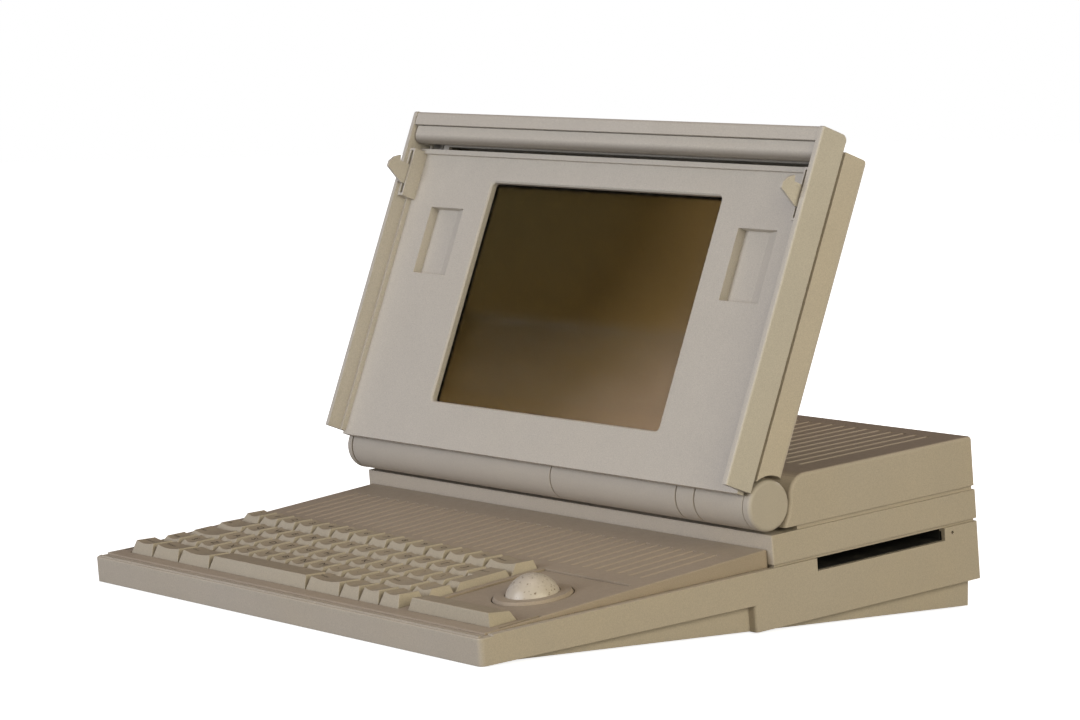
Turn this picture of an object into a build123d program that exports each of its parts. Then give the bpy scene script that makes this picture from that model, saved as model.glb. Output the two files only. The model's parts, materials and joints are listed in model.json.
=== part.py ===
from build123d import *
import os
from math import asin, cos, degrees, radians, sin, sqrt, tan

os.makedirs("parts", exist_ok=True)

# Luggable computer: a wedge-shaped base with keyboard, trackball and disk drive, and a flat
# display that folds forward over the keyboard on a barrel hinge.  Millimetres, +Z up,
# +Y towards the back, origin on the ground under the middle of the outer box.

# ---------------------------------------------------------------- driving dimensions
# case, measured in the tilted case frame: x to the right, u to the back, v up
CASE_DEPTH = 350.2
CASE_TILT = 5.6
CASE_FRONT_R = 3.5
CASE_REAR_R = 1.0
EDGE_R = 1.2
WALL = 3.0
FLOOR = 2.5
FRONT_DROP = 0.7
SEAM_HEIGHT = 14.9
SEAM_GROOVE = 1.8
SEAM_INSET = 1.6
RIM_DROP = 0.8
RIM_R = 0.9
BAND_HEIGHT = 16.3
COVER_GROOVE = 2.5
COVER_HEIGHT = 28.2
COVER_FRONT_R = 12.0
COVER_REAR_R = 2.1
COVER_EDGE_R = 2.0
COVER_NOSE_REACH = 5.5
COVER_NOSE_BEND = 1.8
COVER_NOSE_RISE = 7.0
SKIRT_STEP_U = 183.9
SKIRT_STEP_V = 3.2
SKIRT_STEP_R = 2.0
SKIRT_DROP = 18.1
SKIRT_REAR_DROP = 18.2
SKIRT_REAR_U = 214.0
WEDGE_INSET = 6.0
WEDGE_FRONT_Y = 18.0
WEDGE_REAR_GAP = 4.2
LEDGE_WIDTH = 1.6
FRONT_LEDGE = 11.0
LEDGE_HEIGHT = 2.0
FOOT_PROUD = 1.2
FOOT_R = 8.0
FOOT_POCKET = 1.0

# keyboard deck, a sloping top plate between the front edge and the hinge
DECK_INSET = 4.9
DECK_FRONT_U = 7.0
DECK_FOOT = 2.0
DECK_RISE = 14.9
DECK_SLOPE = 2.9
DECK_THICK = 2.6
DECK_REAR_GAP = 0.4
DECK_EDGE_R = 0.9
WELL_WALL = 1.6
GROOVE_PITCH = 10.16
GROOVE_R = 3.0
GROOVE_DEPTH = 0.7
GROOVE_FRONT = 124.0
GROOVE_BACK_MARGIN = 21.0
COVER_GROOVE_FRONT = 240.0
COVER_GROOVE_MARGIN = 14.2
GROOVE_SIDE_MARGIN = 13.0

# keyboard: widths in key units and the piece each key belongs to, front row first
KEY_PITCH = 19.05
KEY_GAP = 0.8
KEYS_FRONT = 15.1
KEYS_MARGIN = 11.2
ROW_UNITS = (
    (1.25, 1.5, 1.75, 5.25, 1.75, 1, 1, 1),
    (1,) + (1,) * 11 + (1.5, 1),
    (1.75,) + (1,) * 12,
    (1.5,) + (1,) * 12,
    (1,) * 13 + (1.5,),
)
ROW_NAMES = (
    (
        "control_key",
        "option_key",
        "command_key",
        "space_bar",
        "enter_key",
        "arrow_left_key",
        "arrow_down_key",
        "arrow_right_key",
    ),
    ("left_shift_key",) + ("lower_letter_keys",) * 11 + ("right_shift_key", "arrow_up_key"),
    ("caps_key",) + ("home_letter_keys",) * 12,
    ("tab_key",) + ("upper_letter_keys",) * 12,
    ("number_keys",) * 13 + ("delete_key",),
)
ROW_FRONT_TOP = (6.75, 4.7, 3.8, 4.0, 5.4)
ROW_BACK_TOP = (5.55, 4.2, 3.5, 3.3, 4.6)
ROW_FRONT_SLOPE = (3.6, 5.7, 5.7, 5.7, 5.7)
ROW_BACK_SLOPE = (2.1, 0.7, 0.7, 0.7, 0.7)
RETURN_UPPER = 1.0
RETURN_LOWER = 0.75
CAP_BASE = 0.8
CAP_SIDE_SLOPE = 2.2
CAP_DISH = 1.1
CAP_SHELL = 1.5
CAP_CAVITY = 2.0
CAP_CAVITY_FRONT = 4.4
STEM_WIDTH = 5.0
STEM_DEPTH = 3.4
STEM_END = 5.8
SWITCH_SIZE = 13.0
SWITCH_TOP = 5.1
SWITCH_PLAY = 0.5
PLATE_TOP = 9.6
PLATE_THICK = 1.2
PLATE_MARGIN = 4.0
WELL_GAP = 0.4

# trackball module to the right of the keys
MODULE_SPACE = 4.5
MODULE_WIDTH = 76.4
MODULE_MARGIN = 8.9
MODULE_FRONT = 15.6
MODULE_LENGTH = 95.6
MODULE_GAP = 0.3
PANEL_SUNK = 1.0
PANEL_THICK = 2.4
BUTTON_LENGTH = 18.2
BUTTON_SHIFT = 3.7
BUTTON_OVERHANG = 1.8
BUTTON_FRONT_TOP = 7.4
BUTTON_BACK_TOP = 5.4
BUTTON_BACK_SLOPE = 3.6
BUTTON_FRONT_SLOPE = 1.0
BUTTON_LEFT_SLOPE = 4.2
BUTTON_RIGHT_SLOPE = 1.4
BUTTON_SHELL = 2.0
BUTTON_EDGE_R = 0.9
BALL_R = 15.6
BALL_GAP = 0.35
BALL_SHOW = 10.5
BALL_BACK = 56.9
BALL_RIGHT = 40.1
RING_R = 22.0
RING_GAP = 0.6
RING_RISE = 1.65
RING_CONE = 4.6
RING_FLOAT = 0.2
SOCKET_PLATE = 1.5
SOCKET_GAP = 0.6
SOCKET_WALL = 1.2
ROLLER_R = 2.0
ROLLER_LENGTH = 7.0
ROLLER_DROP = 30.0
SPINDLE_R = 1.0
SPINDLE_LENGTH = 24.0
ENCODER_R = 3.0
ENCODER_THICK = 1.0
POST_SIZE = 4.0

# hinge barrel between the deck and the rear cover
HINGE_U = 198.8
BARREL_R = 14.2
BARREL_LIFT = 2.3
BARREL_WALL = 2.4
BARREL_WEB = 3.0
BAND_BEHIND_AXIS = 0.1
COVER_GAP = 1.0
SHAFT_R = 5.0
RUN_FIT = 0.05
CAP_THICK = 5.5
CAP_R = 14.3
CAP_EDGE_R = 2.2
BARREL_JOINT = 0.7
LONG_SEGMENT_END = 14.5
RING_SEGMENT_LENGTH = 16.0
RIGHT_SEGMENT_LENGTH = 48.0
FOOT_BACK = 6.3
FOOT_LENGTH = 3.0
FOOT_HEIGHT = 6.0
FOOT_MARGIN = 15.0
NECK_MARGIN = 38.0
NECK_THICK = 3.8
NECK_REACH = 30.0

# display, measured in the lid frame: x to the right, w up the rim, t to the back
LID_LEAN = 19.4
AXIS_BELOW = 2.9
AXIS_BEHIND = 33.4
RIM_WALL = 3.8
RIM_FRONT_R = 1.5
RIM_BACK_R = 3.5
FRONT_SHELL_DEPTH = 18.9
SHELL_GROOVE = 1.2
REAR_SHELL_DEPTH = 18.7
REAR_SHELL_GAP = 0.4
REAR_SHELL_R = 16.7
REAR_WALL = 2.5
REAR_EDGE_R = 5.4
TONGUE_INSET = 3.0
BEZEL_DEPTH = 12.2
BEZEL_THICK = 2.5
BEZEL_ABOVE = 18.3
BEZEL_BELOW = 2.0
BEZEL_LIP = 3.0
BEZEL_LIP_PROUD = 2.3
BEZEL_RETURN = 4.3
RIM_RIB = 2.0
RIM_RIB_DEPTH = 9.1
RETURN_GAP = 4.0
RETURN_GAP_HALF = 170.0
SCREEN_WIDTH = 218.0
SCREEN_BOTTOM = 26.0
SCREEN_HEIGHT = 137.7
SCREEN_R = 3.0
SCREEN_BEVEL = 1.0
SCREEN_COLLAR = 1.6
COLLAR_WALL = 1.6
GLASS_THICK = 1.2
GLASS_MARGIN = 4.5
LCD_THICK = 5.8
LCD_MARGIN = 9.0
CHASSIS_THICK = 1.2
CHASSIS_MARGIN = 21.5
CHASSIS_BOTTOM = 16.0
CHASSIS_BELOW_TOP = 10.0
RECESS_LEFT = 12.7
RECESS_RIGHT = 20.6
RECESS_FRONT = 22.4
RECESS_REAR = 19.7
RECESS_DEPTH = 5.6
RECESS_FLAT = 21.0
RECESS_EDGE = 1.4
BOSS_R = 4.0
BOSS_MARGIN = 25.0
BOSS_LOW = 60.0
BOSS_BELOW_TOP = 22.0
SCREW_R = 1.4
SCREW_HEAD_R = 2.7
SCREW_HEAD = 1.6
SCREW_LENGTH = 6.0
SCREW_GAP = 0.1
VIDEO_BOARD_WIDTH = 120.0
VIDEO_BOARD_LENGTH = 95.0
VIDEO_CHIPS = ((-30, -22, 22), (5, -22, 22), (35, 8, 26), (-25, 22, 14))

# latch and carrying handle at the far edge of the display
LATCH_BAR_R = 5.0
LATCH_BAR_LIFT = 7.5
LATCH_BAR_T = 7.3
LATCH_TRAVEL = 2.8
LATCH_END_GAP = 0.8
LATCH_END_R = 1.2
HOOK_INSET = 3.9
HOOK_THICK = 1.8
HOOK_LENGTH = 12.5
HOOK_BELOW = 12.5
HOOK_REACH = 12.4
HOOK_TIP = 6.5
HOOK_NOSE = 9.7
HOOK_NOSE_TOP = 0.9
HOOK_NOSE_REACH = 9.8
HOOK_BARB = 3.4
HOOK_BARB_REACH = 5.6
HOOK_BACK = 18.3
HOUSING_WALL = 1.5
HOUSING_FRONT = 2.4
HOUSING_BELOW = 2.0
SLOT_LENGTH = 27.5
SLOT_BELOW = 3.5
SLOT_PLAY = 0.3
HANDLE_GAP = 0.4
HANDLE_LENGTH = 8.4
HANDLE_PLAY = 0.4
HANDLE_TRAVEL = 28.0
ARM_WIDTH = 8.0
ARM_HELD = 24.0
ARM_THICK = 3.2
SPRING_LENGTH = 14.0
CLEAR = 0.4

# what the case holds
DRIVE_WIDTH = 128.0
DRIVE_LENGTH = 101.0
DRIVE_BOTTOM = -8.0
DRIVE_HEIGHT = 35.0
DRIVE_FACE_GAP = 0.3
DRIVE_SLOT_MARGIN = 4.0
DISK_SLOT_BACK_GAP = 25.2
DISK_SLOT_LENGTH = 95.0
DISK_SLOT_HEIGHT = 7.1
DISK_SLOT_DEPTH = 92.0
EJECT_BACK_GAP = 19.4
EJECT_V = 11.5
EJECT_R = 0.9
BOARD_BOTTOM = -2.0
BOARD_THICK = 1.6
BOARD_SIDE_GAP = 13.5
BOARD_DRIVE_GAP = 8.6
BOARD_FRONT = 125.0
BOARD_BACK_GAP = 10.5
POST_MARGIN = 12.0
LOGIC_CHIPS = ((4, 25, 30, 30), (44, 25, 24, 24), (84, 25, 16, 40), (-61, 85, 26, 26))
DISK_WIDTH = 146.0
DISK_FRONT_GAP = 8.6
DISK_BACK_GAP = 36.5
DISK_HEIGHT = 25.0
BATTERY_FRONT_GAP = 21.5
BATTERY_BACK_GAP = 14.5
BATTERY_WIDTH = 112.0
BATTERY_HEIGHT = 25.0
SPEAKER_R = 19.0
SPEAKER_HEIGHT = 10.0
PORT_WIDTHS = (34.0, 28.0, 14.0, 14.0, 14.0, 20.0)
PORT_SPACING = 9.0
PORT_HEIGHT = 11.0
PORT_DEPTH = 22.0
PORT_RECESS = 7.0
PORT_RIM = 1.5

# ---------------------------------------------------------------- derived places
tilt = radians(CASE_TILT)
lean = radians(LID_LEAN)
slope_tan = tan(radians(DECK_SLOPE))
keys_width = sum(ROW_UNITS[0]) * KEY_PITCH
case_width = keys_width + MODULE_SPACE + MODULE_WIDTH + KEYS_MARGIN + MODULE_MARGIN + 2 * DECK_INSET
half = case_width / 2
deck_half = half - DECK_INSET
rim_inner = half - RIM_WALL
case_y_span = CASE_DEPTH * cos(tilt) + SKIRT_REAR_DROP * sin(tilt)
front_y = -case_y_span / 2
rim_top = SEAM_HEIGHT - RIM_DROP
band_bottom = SEAM_HEIGHT + SEAM_GROOVE
band_top = band_bottom + BAND_HEIGHT
cover_bottom = band_top + COVER_GROOVE
cover_top = cover_bottom + COVER_HEIGHT
hinge_v = band_top + BARREL_LIFT + BARREL_R
band_front = HINGE_U + BAND_BEHIND_AXIS
cover_front = HINGE_U + BARREL_R + COVER_GAP
deck_back = band_front - DECK_REAR_GAP
groove_back = deck_back - GROOVE_BACK_MARGIN
keys_left = KEYS_MARGIN - deck_half
keys_right = keys_left + keys_width
keys_back = KEYS_FRONT + len(ROW_UNITS) * KEY_PITCH
module_left = keys_right + MODULE_SPACE
module_right = module_left + MODULE_WIDTH
module_back = MODULE_FRONT + MODULE_LENGTH
ball_x = module_left + BALL_RIGHT
ball_s = MODULE_FRONT + BALL_BACK
ball_h = RING_RISE - PANEL_SUNK + BALL_SHOW - BALL_R
shut_w = HINGE_U - AXIS_BELOW
bezel_top = SCREEN_BOTTOM + SCREEN_HEIGHT + BEZEL_ABOVE
latch_bar_w = bezel_top + LATCH_BAR_LIFT
handle_bottom = latch_bar_w + LATCH_BAR_R + HANDLE_GAP
lid_height = handle_bottom + HANDLE_LENGTH
rear_shell_top = handle_bottom - REAR_SHELL_GAP
hook_top = bezel_top - HOOK_BELOW
hook_bottom = hook_top - HOOK_LENGTH
hook_inner = rim_inner - HOOK_INSET
hook_outer = hook_inner + HOOK_THICK
slot_top = bezel_top - SLOT_BELOW
slot_bottom = slot_top - SLOT_LENGTH
housing_inner = hook_inner - HOUSING_WALL
arm_outer = housing_inner - SLOT_PLAY
arm_inner = arm_outer - ARM_WIDTH
board_top = BOARD_BOTTOM + BOARD_THICK
drive_right = half - WALL - LEDGE_WIDTH - DRIVE_FACE_GAP
drive_left = drive_right - DRIVE_WIDTH
disk_slot_front = CASE_DEPTH - DISK_SLOT_BACK_GAP - DISK_SLOT_LENGTH
drive_front = disk_slot_front - DRIVE_SLOT_MARGIN
board_left = BOARD_SIDE_GAP - half
board_right = drive_left - BOARD_DRIVE_GAP
board_back = CASE_DEPTH - BOARD_BACK_GAP

CASE = Plane(origin=(0, front_y, FOOT_PROUD), x_dir=(1, 0, 0), z_dir=(0, -sin(tilt), cos(tilt)))
SIDE = Plane(origin=CASE.origin, x_dir=CASE.y_dir, z_dir=(1, 0, 0))
WORLD_SIDE = Plane(origin=CASE.origin, x_dir=(0, 1, 0), z_dir=(1, 0, 0))
hinge_point = CASE.from_local_coords(Vector(0, HINGE_U, hinge_v))
AXLE = Plane(origin=hinge_point, x_dir=CASE.y_dir, z_dir=(1, 0, 0))
deck_dir = CASE.y_dir * cos(radians(DECK_SLOPE)) + CASE.z_dir * sin(radians(DECK_SLOPE))
DECK = Plane(
    origin=CASE.from_local_coords(Vector(0, 0, DECK_RISE)),
    x_dir=(1, 0, 0),
    z_dir=Vector(1, 0, 0).cross(deck_dir),
)
lid_up = Vector(0, sin(lean), cos(lean))
lid_back = Vector(0, cos(lean), -sin(lean))
lid_origin = hinge_point + lid_up * AXIS_BELOW - lid_back * AXIS_BEHIND
LID = Plane(origin=lid_origin, x_dir=(1, 0, 0), z_dir=lid_back * -1)
LID_SIDE = Plane(origin=lid_origin, x_dir=lid_up, z_dir=(-1, 0, 0))


def lid_depth(depth):
    """The lid's face plane moved back by a depth behind the rim."""
    return LID.offset(-depth)


def deck_v(u):
    """Height of the deck's top above the case plane at a distance from the front."""
    return DECK_RISE + u * slope_tan


def save(solid, name):
    """Label one finished sub-part and write its STEP file."""
    solid.label = name
    export_step(solid, f"parts/{name}.step")


def box_on(plane, low, high):
    """A rectangular block given by two corners in a plane's own coordinates."""
    with BuildPart() as block:
        with BuildSketch(plane.offset(low[2])):
            with Locations(((low[0] + high[0]) / 2, (low[1] + high[1]) / 2)):
                Rectangle(high[0] - low[0], high[1] - low[1])
        extrude(amount=high[2] - low[2])
    return block.part


def groove_positions(half_width, margin):
    """Places of evenly pitched grooves, centred, that leave a margin at each side."""
    count = int((half_width - margin) // GROOVE_PITCH)
    return [GROOVE_PITCH * index for index in range(-count, count + 1)]


def upright_edges(edges, u):
    """Edges square to the case plane at a distance from the front."""
    upright = edges.filter_by(Axis(CASE.origin, CASE.z_dir), tolerance=0.1)
    return [edge for edge in upright if abs(CASE.to_local_coords(edge.center()).Y - u) < 0.5]


def mirrored(places):
    """Each place and its twin on the other side of the middle."""
    return [(side * x, y) for x, y in places for side in (-1, 1)]


# ---------------------------------------------------------------- bottom case
skirt_profile = [
    (0, -FRONT_DROP),
    (0, SEAM_HEIGHT),
    (CASE_DEPTH, SEAM_HEIGHT),
    (CASE_DEPTH, -SKIRT_REAR_DROP),
    (SKIRT_REAR_U, -SKIRT_REAR_DROP),
    (SKIRT_STEP_U, -SKIRT_DROP),
    (SKIRT_STEP_U, -SKIRT_STEP_V),
]
inner_profile = [
    (WALL, FLOOR),
    (WALL, SEAM_HEIGHT),
    (CASE_DEPTH - WALL, SEAM_HEIGHT),
    (CASE_DEPTH - WALL, WALL - SKIRT_REAR_DROP),
    (SKIRT_STEP_U + WALL, WALL - SKIRT_DROP),
    (SKIRT_STEP_U + WALL, FLOOR - SKIRT_STEP_V),
]
wedge_rear = case_y_span - WEDGE_REAR_GAP
wedge_half = half - WEDGE_INSET
ledge_half = half - WALL - LEDGE_WIDTH
wedge_roof = WEDGE_FRONT_Y * tan(tilt) + FLOOR
foot_places = mirrored([(wedge_half - 20, front_y + 50), (wedge_half - 20, front_y + wedge_rear - 30)])
board_posts = [
    (x, u)
    for x in (board_left + POST_MARGIN, (board_left + board_right) / 2, board_right - POST_MARGIN)
    for u in (BOARD_FRONT + POST_MARGIN, (BOARD_FRONT + board_back) / 2, board_back - POST_MARGIN)
]
drive_posts = [
    (x, u)
    for x in (drive_left + POST_MARGIN, drive_right - 2 * POST_MARGIN)
    for u in (drive_front + POST_MARGIN, drive_front + DRIVE_LENGTH - POST_MARGIN)
]
port_total = sum(PORT_WIDTHS) + PORT_SPACING * (len(PORT_WIDTHS) - 1)
port_start = (board_left + board_right - port_total) / 2


def port_centres():
    """Centre of each rear socket along x."""
    centres = []
    x = port_start
    for width in PORT_WIDTHS:
        centres.append(x + width / 2)
        x += width + PORT_SPACING
    return centres


with BuildPart() as floor_posts:
    with BuildSketch(CASE.offset(BOARD_BOTTOM)):
        with Locations(*board_posts):
            Circle(BOSS_R)
    extrude(amount=-CASE_DEPTH * tan(tilt))
    with BuildSketch(CASE.offset(DRIVE_BOTTOM)):
        with Locations(*drive_posts):
            Circle(BOSS_R)
    extrude(amount=-CASE_DEPTH * tan(tilt))
    split(bisect_by=Plane.XY.offset(FOOT_PROUD), keep=Keep.TOP)

with BuildPart() as bottom_case:
    with BuildSketch(SIDE):
        with BuildLine():
            Polyline(*skirt_profile, close=True)
        make_face()
    extrude(amount=half, both=True)
    fillet(upright_edges(bottom_case.edges(), 0), CASE_FRONT_R)
    fillet(upright_edges(bottom_case.edges(), CASE_DEPTH), CASE_REAR_R)
    fillet(upright_edges(bottom_case.edges(), SKIRT_STEP_U), SKIRT_STEP_R)
    # the front rim stands lower than the sides and is rounded
    add(
        box_on(CASE, (-half - 1, -1, rim_top), (half + 1, DECK_FRONT_U + DECK_FOOT, SEAM_HEIGHT + 1)),
        mode=Mode.SUBTRACT,
    )
    rim_edges = [
        edge
        for edge in bottom_case.edges()
        if abs(CASE.to_local_coords(edge.center()).Z - rim_top) < 0.01
        and CASE.to_local_coords(edge.center()).Y < DECK_FRONT_U + DECK_FOOT - 0.5
    ]
    fillet(rim_edges, RIM_R)
    with BuildSketch(WORLD_SIDE):
        with BuildLine():
            Polyline(
                (WEDGE_FRONT_Y, 0),
                (wedge_rear, 0),
                (wedge_rear, wedge_roof + (wedge_rear - WEDGE_FRONT_Y) * tan(tilt)),
                (WEDGE_FRONT_Y, wedge_roof),
                close=True,
            )
        make_face()
    extrude(amount=wedge_half, both=True)
    with BuildSketch(SIDE):
        with BuildLine():
            Polyline(*inner_profile, close=True)
        make_face()
    extrude(amount=half - WALL, both=True, mode=Mode.SUBTRACT)
    with BuildSketch(WORLD_SIDE):
        with BuildLine():
            Polyline(
                (WEDGE_FRONT_Y + WALL, FLOOR),
                (wedge_rear - WALL, FLOOR),
                (wedge_rear - WALL, wedge_roof + (wedge_rear - WEDGE_FRONT_Y) * tan(tilt)),
                (WEDGE_FRONT_Y + WALL, wedge_roof + WALL * tan(tilt)),
                close=True,
            )
        make_face()
    extrude(amount=wedge_half - WALL, both=True, mode=Mode.SUBTRACT)
    # ledge that carries the deck and the middle band
    with BuildSketch(CASE.offset(SEAM_HEIGHT - LEDGE_HEIGHT)):
        with Locations((0, CASE_DEPTH / 2)):
            Rectangle(2 * (half - WALL), CASE_DEPTH - WALL)
            Rectangle(2 * ledge_half, CASE_DEPTH - 2 * FRONT_LEDGE, mode=Mode.SUBTRACT)
    extrude(amount=LEDGE_HEIGHT)
    add(
        box_on(
            CASE,
            (-half + WALL, WALL, rim_top),
            (half - WALL, DECK_FRONT_U + DECK_FOOT, SEAM_HEIGHT + 1),
        ),
        mode=Mode.SUBTRACT,
    )
    # posts under the board and the disk drive
    add(floor_posts.part)
    # pockets for the feet
    with BuildSketch(Plane.XY.offset(FOOT_PROUD)):
        with Locations(*foot_places):
            Circle(FOOT_R + SCREW_GAP)
    extrude(amount=FOOT_POCKET, mode=Mode.SUBTRACT)
    # disk slot and eject pinhole in the right wall
    add(
        box_on(
            CASE,
            (drive_right - DRIVE_FACE_GAP, disk_slot_front, SEAM_HEIGHT - DISK_SLOT_HEIGHT),
            (half + 1, disk_slot_front + DISK_SLOT_LENGTH, SEAM_HEIGHT + 1),
        ),
        mode=Mode.SUBTRACT,
    )
    with BuildSketch(SIDE.offset(half)):
        with Locations((CASE_DEPTH - EJECT_BACK_GAP, EJECT_V)):
            Circle(EJECT_R)
    extrude(amount=-WALL, mode=Mode.SUBTRACT)
    # rear sockets' windows
    for centre, width in zip(port_centres(), PORT_WIDTHS):
        add(
            box_on(
                CASE,
                (centre - width / 2 - CLEAR, CASE_DEPTH - 2 * WALL, board_top - CLEAR),
                (centre + width / 2 + CLEAR, CASE_DEPTH + 1, board_top + PORT_HEIGHT + CLEAR),
            ),
            mode=Mode.SUBTRACT,
        )
save(bottom_case.part, "bottom_case")

with BuildPart() as rubber_feet:
    with BuildSketch(Plane.XY):
        with Locations(*foot_places):
            Circle(FOOT_R)
    extrude(amount=FOOT_PROUD + FOOT_POCKET)
    chamfer(rubber_feet.edges().group_by(Axis.Z)[0], FOOT_PROUD / 3)
save(rubber_feet.part, "rubber_feet")

# ---------------------------------------------------------------- keyboard deck
well_low = (keys_left - WELL_GAP, KEYS_FRONT - WELL_GAP)
well_high = (keys_right + WELL_GAP, keys_back + WELL_GAP)
button_left = module_left + BUTTON_SHIFT
button_right = module_right + BUTTON_OVERHANG
panel_start = MODULE_FRONT + BUTTON_LENGTH + MODULE_GAP
panel_bottom = -(PANEL_SUNK + PANEL_THICK)
openings = (
    (well_low, well_high, -PLATE_TOP),
    ((button_left, MODULE_FRONT), (button_right, panel_start), panel_bottom),
    ((module_left, panel_start), (module_right, module_back), panel_bottom),
)
slot_low = shut_w - slot_top
slot_high = shut_w - slot_bottom
slot_mid = (hook_inner + hook_outer) / 2
slot_wide = HOOK_THICK + 2 * SLOT_PLAY
cavity_front = (SEAM_HEIGHT + DECK_THICK - DECK_RISE) / slope_tan
belly_front = FRONT_LEDGE + CLEAR

with BuildPart() as keyboard_deck:
    with BuildSketch(SIDE):
        with BuildLine():
            Polyline(
                (DECK_FRONT_U, rim_top),
                (DECK_FRONT_U + DECK_FOOT, rim_top),
                (DECK_FRONT_U + DECK_FOOT, SEAM_HEIGHT),
                (deck_back, SEAM_HEIGHT),
                (deck_back, deck_v(deck_back)),
                (DECK_FRONT_U, deck_v(DECK_FRONT_U)),
                close=True,
            )
        make_face()
    extrude(amount=deck_half, both=True)
    top_edges = keyboard_deck.faces().sort_by(Axis(DECK.origin, DECK.z_dir))[-1].edges()
    fillet(top_edges, DECK_EDGE_R)
    # full plate thickness between the front ledge and the hollow
    with BuildSketch(SIDE):
        with BuildLine():
            Polyline(
                (belly_front, SEAM_HEIGHT),
                (belly_front, deck_v(belly_front) - DECK_THICK),
                (cavity_front, SEAM_HEIGHT),
                close=True,
            )
        make_face()
    extrude(amount=ledge_half - CLEAR, both=True)
    with BuildSketch(SIDE):
        with BuildLine():
            Polyline(
                (cavity_front, SEAM_HEIGHT),
                (deck_back - WALL, SEAM_HEIGHT),
                (deck_back - WALL, deck_v(deck_back - WALL) - DECK_THICK),
                close=True,
            )
        make_face()
    extrude(amount=deck_half - WALL, both=True, mode=Mode.SUBTRACT)
    # skirts around the key well, the button and the trackball panel, then their openings
    for low, high, bottom in openings:
        add(
            box_on(
                DECK,
                (low[0] - WELL_WALL, low[1] - WELL_WALL, bottom),
                (high[0] + WELL_WALL, high[1] + WELL_WALL, -DECK_THICK / 2),
            )
        )
    for low, high, _ in openings:
        add(box_on(DECK, low + (-PLATE_TOP - 1,), high + (DECK_THICK,)), mode=Mode.SUBTRACT)
    # slots that take the display's hooks
    with BuildSketch(CASE.offset(SEAM_HEIGHT - DECK_THICK)):
        with Locations(*mirrored([(slot_mid, (slot_low + slot_high) / 2)])):
            Rectangle(slot_wide, slot_high - slot_low)
    extrude(amount=DECK_RISE, mode=Mode.SUBTRACT)
    # shallow grooves behind the keys
    with Locations(
        *[
            DECK.location * Location((x, (GROOVE_FRONT + groove_back) / 2, GROOVE_R - GROOVE_DEPTH))
            for x in groove_positions(deck_half, GROOVE_SIDE_MARGIN)
        ]
    ):
        Cylinder(
            radius=GROOVE_R,
            height=groove_back - GROOVE_FRONT,
            rotation=(90, 0, 0),
            mode=Mode.SUBTRACT,
        )
save(keyboard_deck.part, "keyboard_deck")

# ---------------------------------------------------------------- keyboard
plate_low = (keys_left - PLATE_MARGIN, KEYS_FRONT - PLATE_MARGIN + WELL_WALL)
plate_high = (keys_right + PLATE_MARGIN, keys_back + PLATE_MARGIN)
keyboard_plate = box_on(
    DECK,
    plate_low + (-PLATE_TOP - PLATE_THICK,),
    plate_high + (-PLATE_TOP,),
)
save(keyboard_plate, "keyboard_plate")


def row_starts(row):
    """Left edge of each key of a row."""
    starts = []
    x = keys_left
    for units in ROW_UNITS[row]:
        starts.append(x)
        x += units * KEY_PITCH
    return starts


def key_centre(row, index):
    """Centre of a key in the deck plane."""
    x = row_starts(row)[index] + ROW_UNITS[row][index] * KEY_PITCH / 2
    return (x, KEYS_FRONT + (row + 0.5) * KEY_PITCH)


return_right = keys_right
return_split = KEYS_FRONT + 3 * KEY_PITCH
return_centre = (return_right - RETURN_LOWER * KEY_PITCH / 2, return_split)
switch_places = [
    key_centre(row, index) for row in range(len(ROW_UNITS)) for index in range(len(ROW_UNITS[row]))
]
switch_places.append(return_centre)

with BuildPart() as key_switches:
    with BuildSketch(DECK.offset(-PLATE_TOP)):
        with Locations(*switch_places):
            Rectangle(SWITCH_SIZE, SWITCH_SIZE)
            Rectangle(STEM_WIDTH + 2 * SWITCH_PLAY, STEM_DEPTH + 2 * SWITCH_PLAY, mode=Mode.SUBTRACT)
    extrude(amount=PLATE_TOP - SWITCH_TOP)
save(key_switches.part, "key_switches")


def top_plane(front, back, front_top, back_top):
    """Sloping plane through a key top's front and back edges, origin at the front edge."""
    angle = degrees(asin((back_top - front_top) / (back - front)))
    origin = DECK.from_local_coords(Vector(0, front, front_top))
    return Plane(origin=origin, x_dir=(1, 0, 0), z_dir=DECK.z_dir).rotated((angle, 0, 0))


def key_cap(units, row):
    """A hollow tapered key cap with a dished top and a stem, centred on x = 0."""
    width = units * KEY_PITCH - KEY_GAP
    front = KEYS_FRONT + row * KEY_PITCH + KEY_GAP / 2
    back = front + KEY_PITCH - KEY_GAP
    top_front = front + ROW_FRONT_SLOPE[row]
    top_back = back - ROW_BACK_SLOPE[row]
    top_width = width - 2 * CAP_SIDE_SLOPE
    top_length = top_back - top_front
    crown = top_plane(top_front, top_back, ROW_FRONT_TOP[row], ROW_BACK_TOP[row])
    dish_r = (top_width / 2) ** 2 / (2 * CAP_DISH) + CAP_DISH / 2
    middle = KEYS_FRONT + (row + 0.5) * KEY_PITCH
    with BuildPart() as cap:
        with BuildSketch(DECK.offset(-CAP_BASE)):
            with Locations((0, (front + back) / 2)):
                Rectangle(width, back - front)
        with BuildSketch(crown):
            with Locations((0, top_length / 2)):
                Rectangle(top_width, top_length)
        loft()
        if units < 3:
            with Locations(crown.location * Location((0, top_length / 2, dish_r - CAP_DISH))):
                Cylinder(radius=dish_r, height=2 * KEY_PITCH, rotation=(90, 0, 0), mode=Mode.SUBTRACT)
        with BuildSketch(DECK.offset(-CAP_BASE)):
            with Locations((0, (front + CAP_CAVITY_FRONT + back - CAP_SHELL) / 2)):
                Rectangle(
                    width - 2 * (CAP_SHELL + CAP_SHELL / 2),
                    back - CAP_SHELL - front - CAP_CAVITY_FRONT,
                )
        extrude(amount=CAP_CAVITY, mode=Mode.SUBTRACT)
        with BuildSketch(DECK.offset(-STEM_END)):
            with Locations((0, middle)):
                Rectangle(STEM_WIDTH, STEM_DEPTH)
        extrude(amount=STEM_END + CAP_CAVITY - CAP_BASE)
    return cap.part


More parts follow.
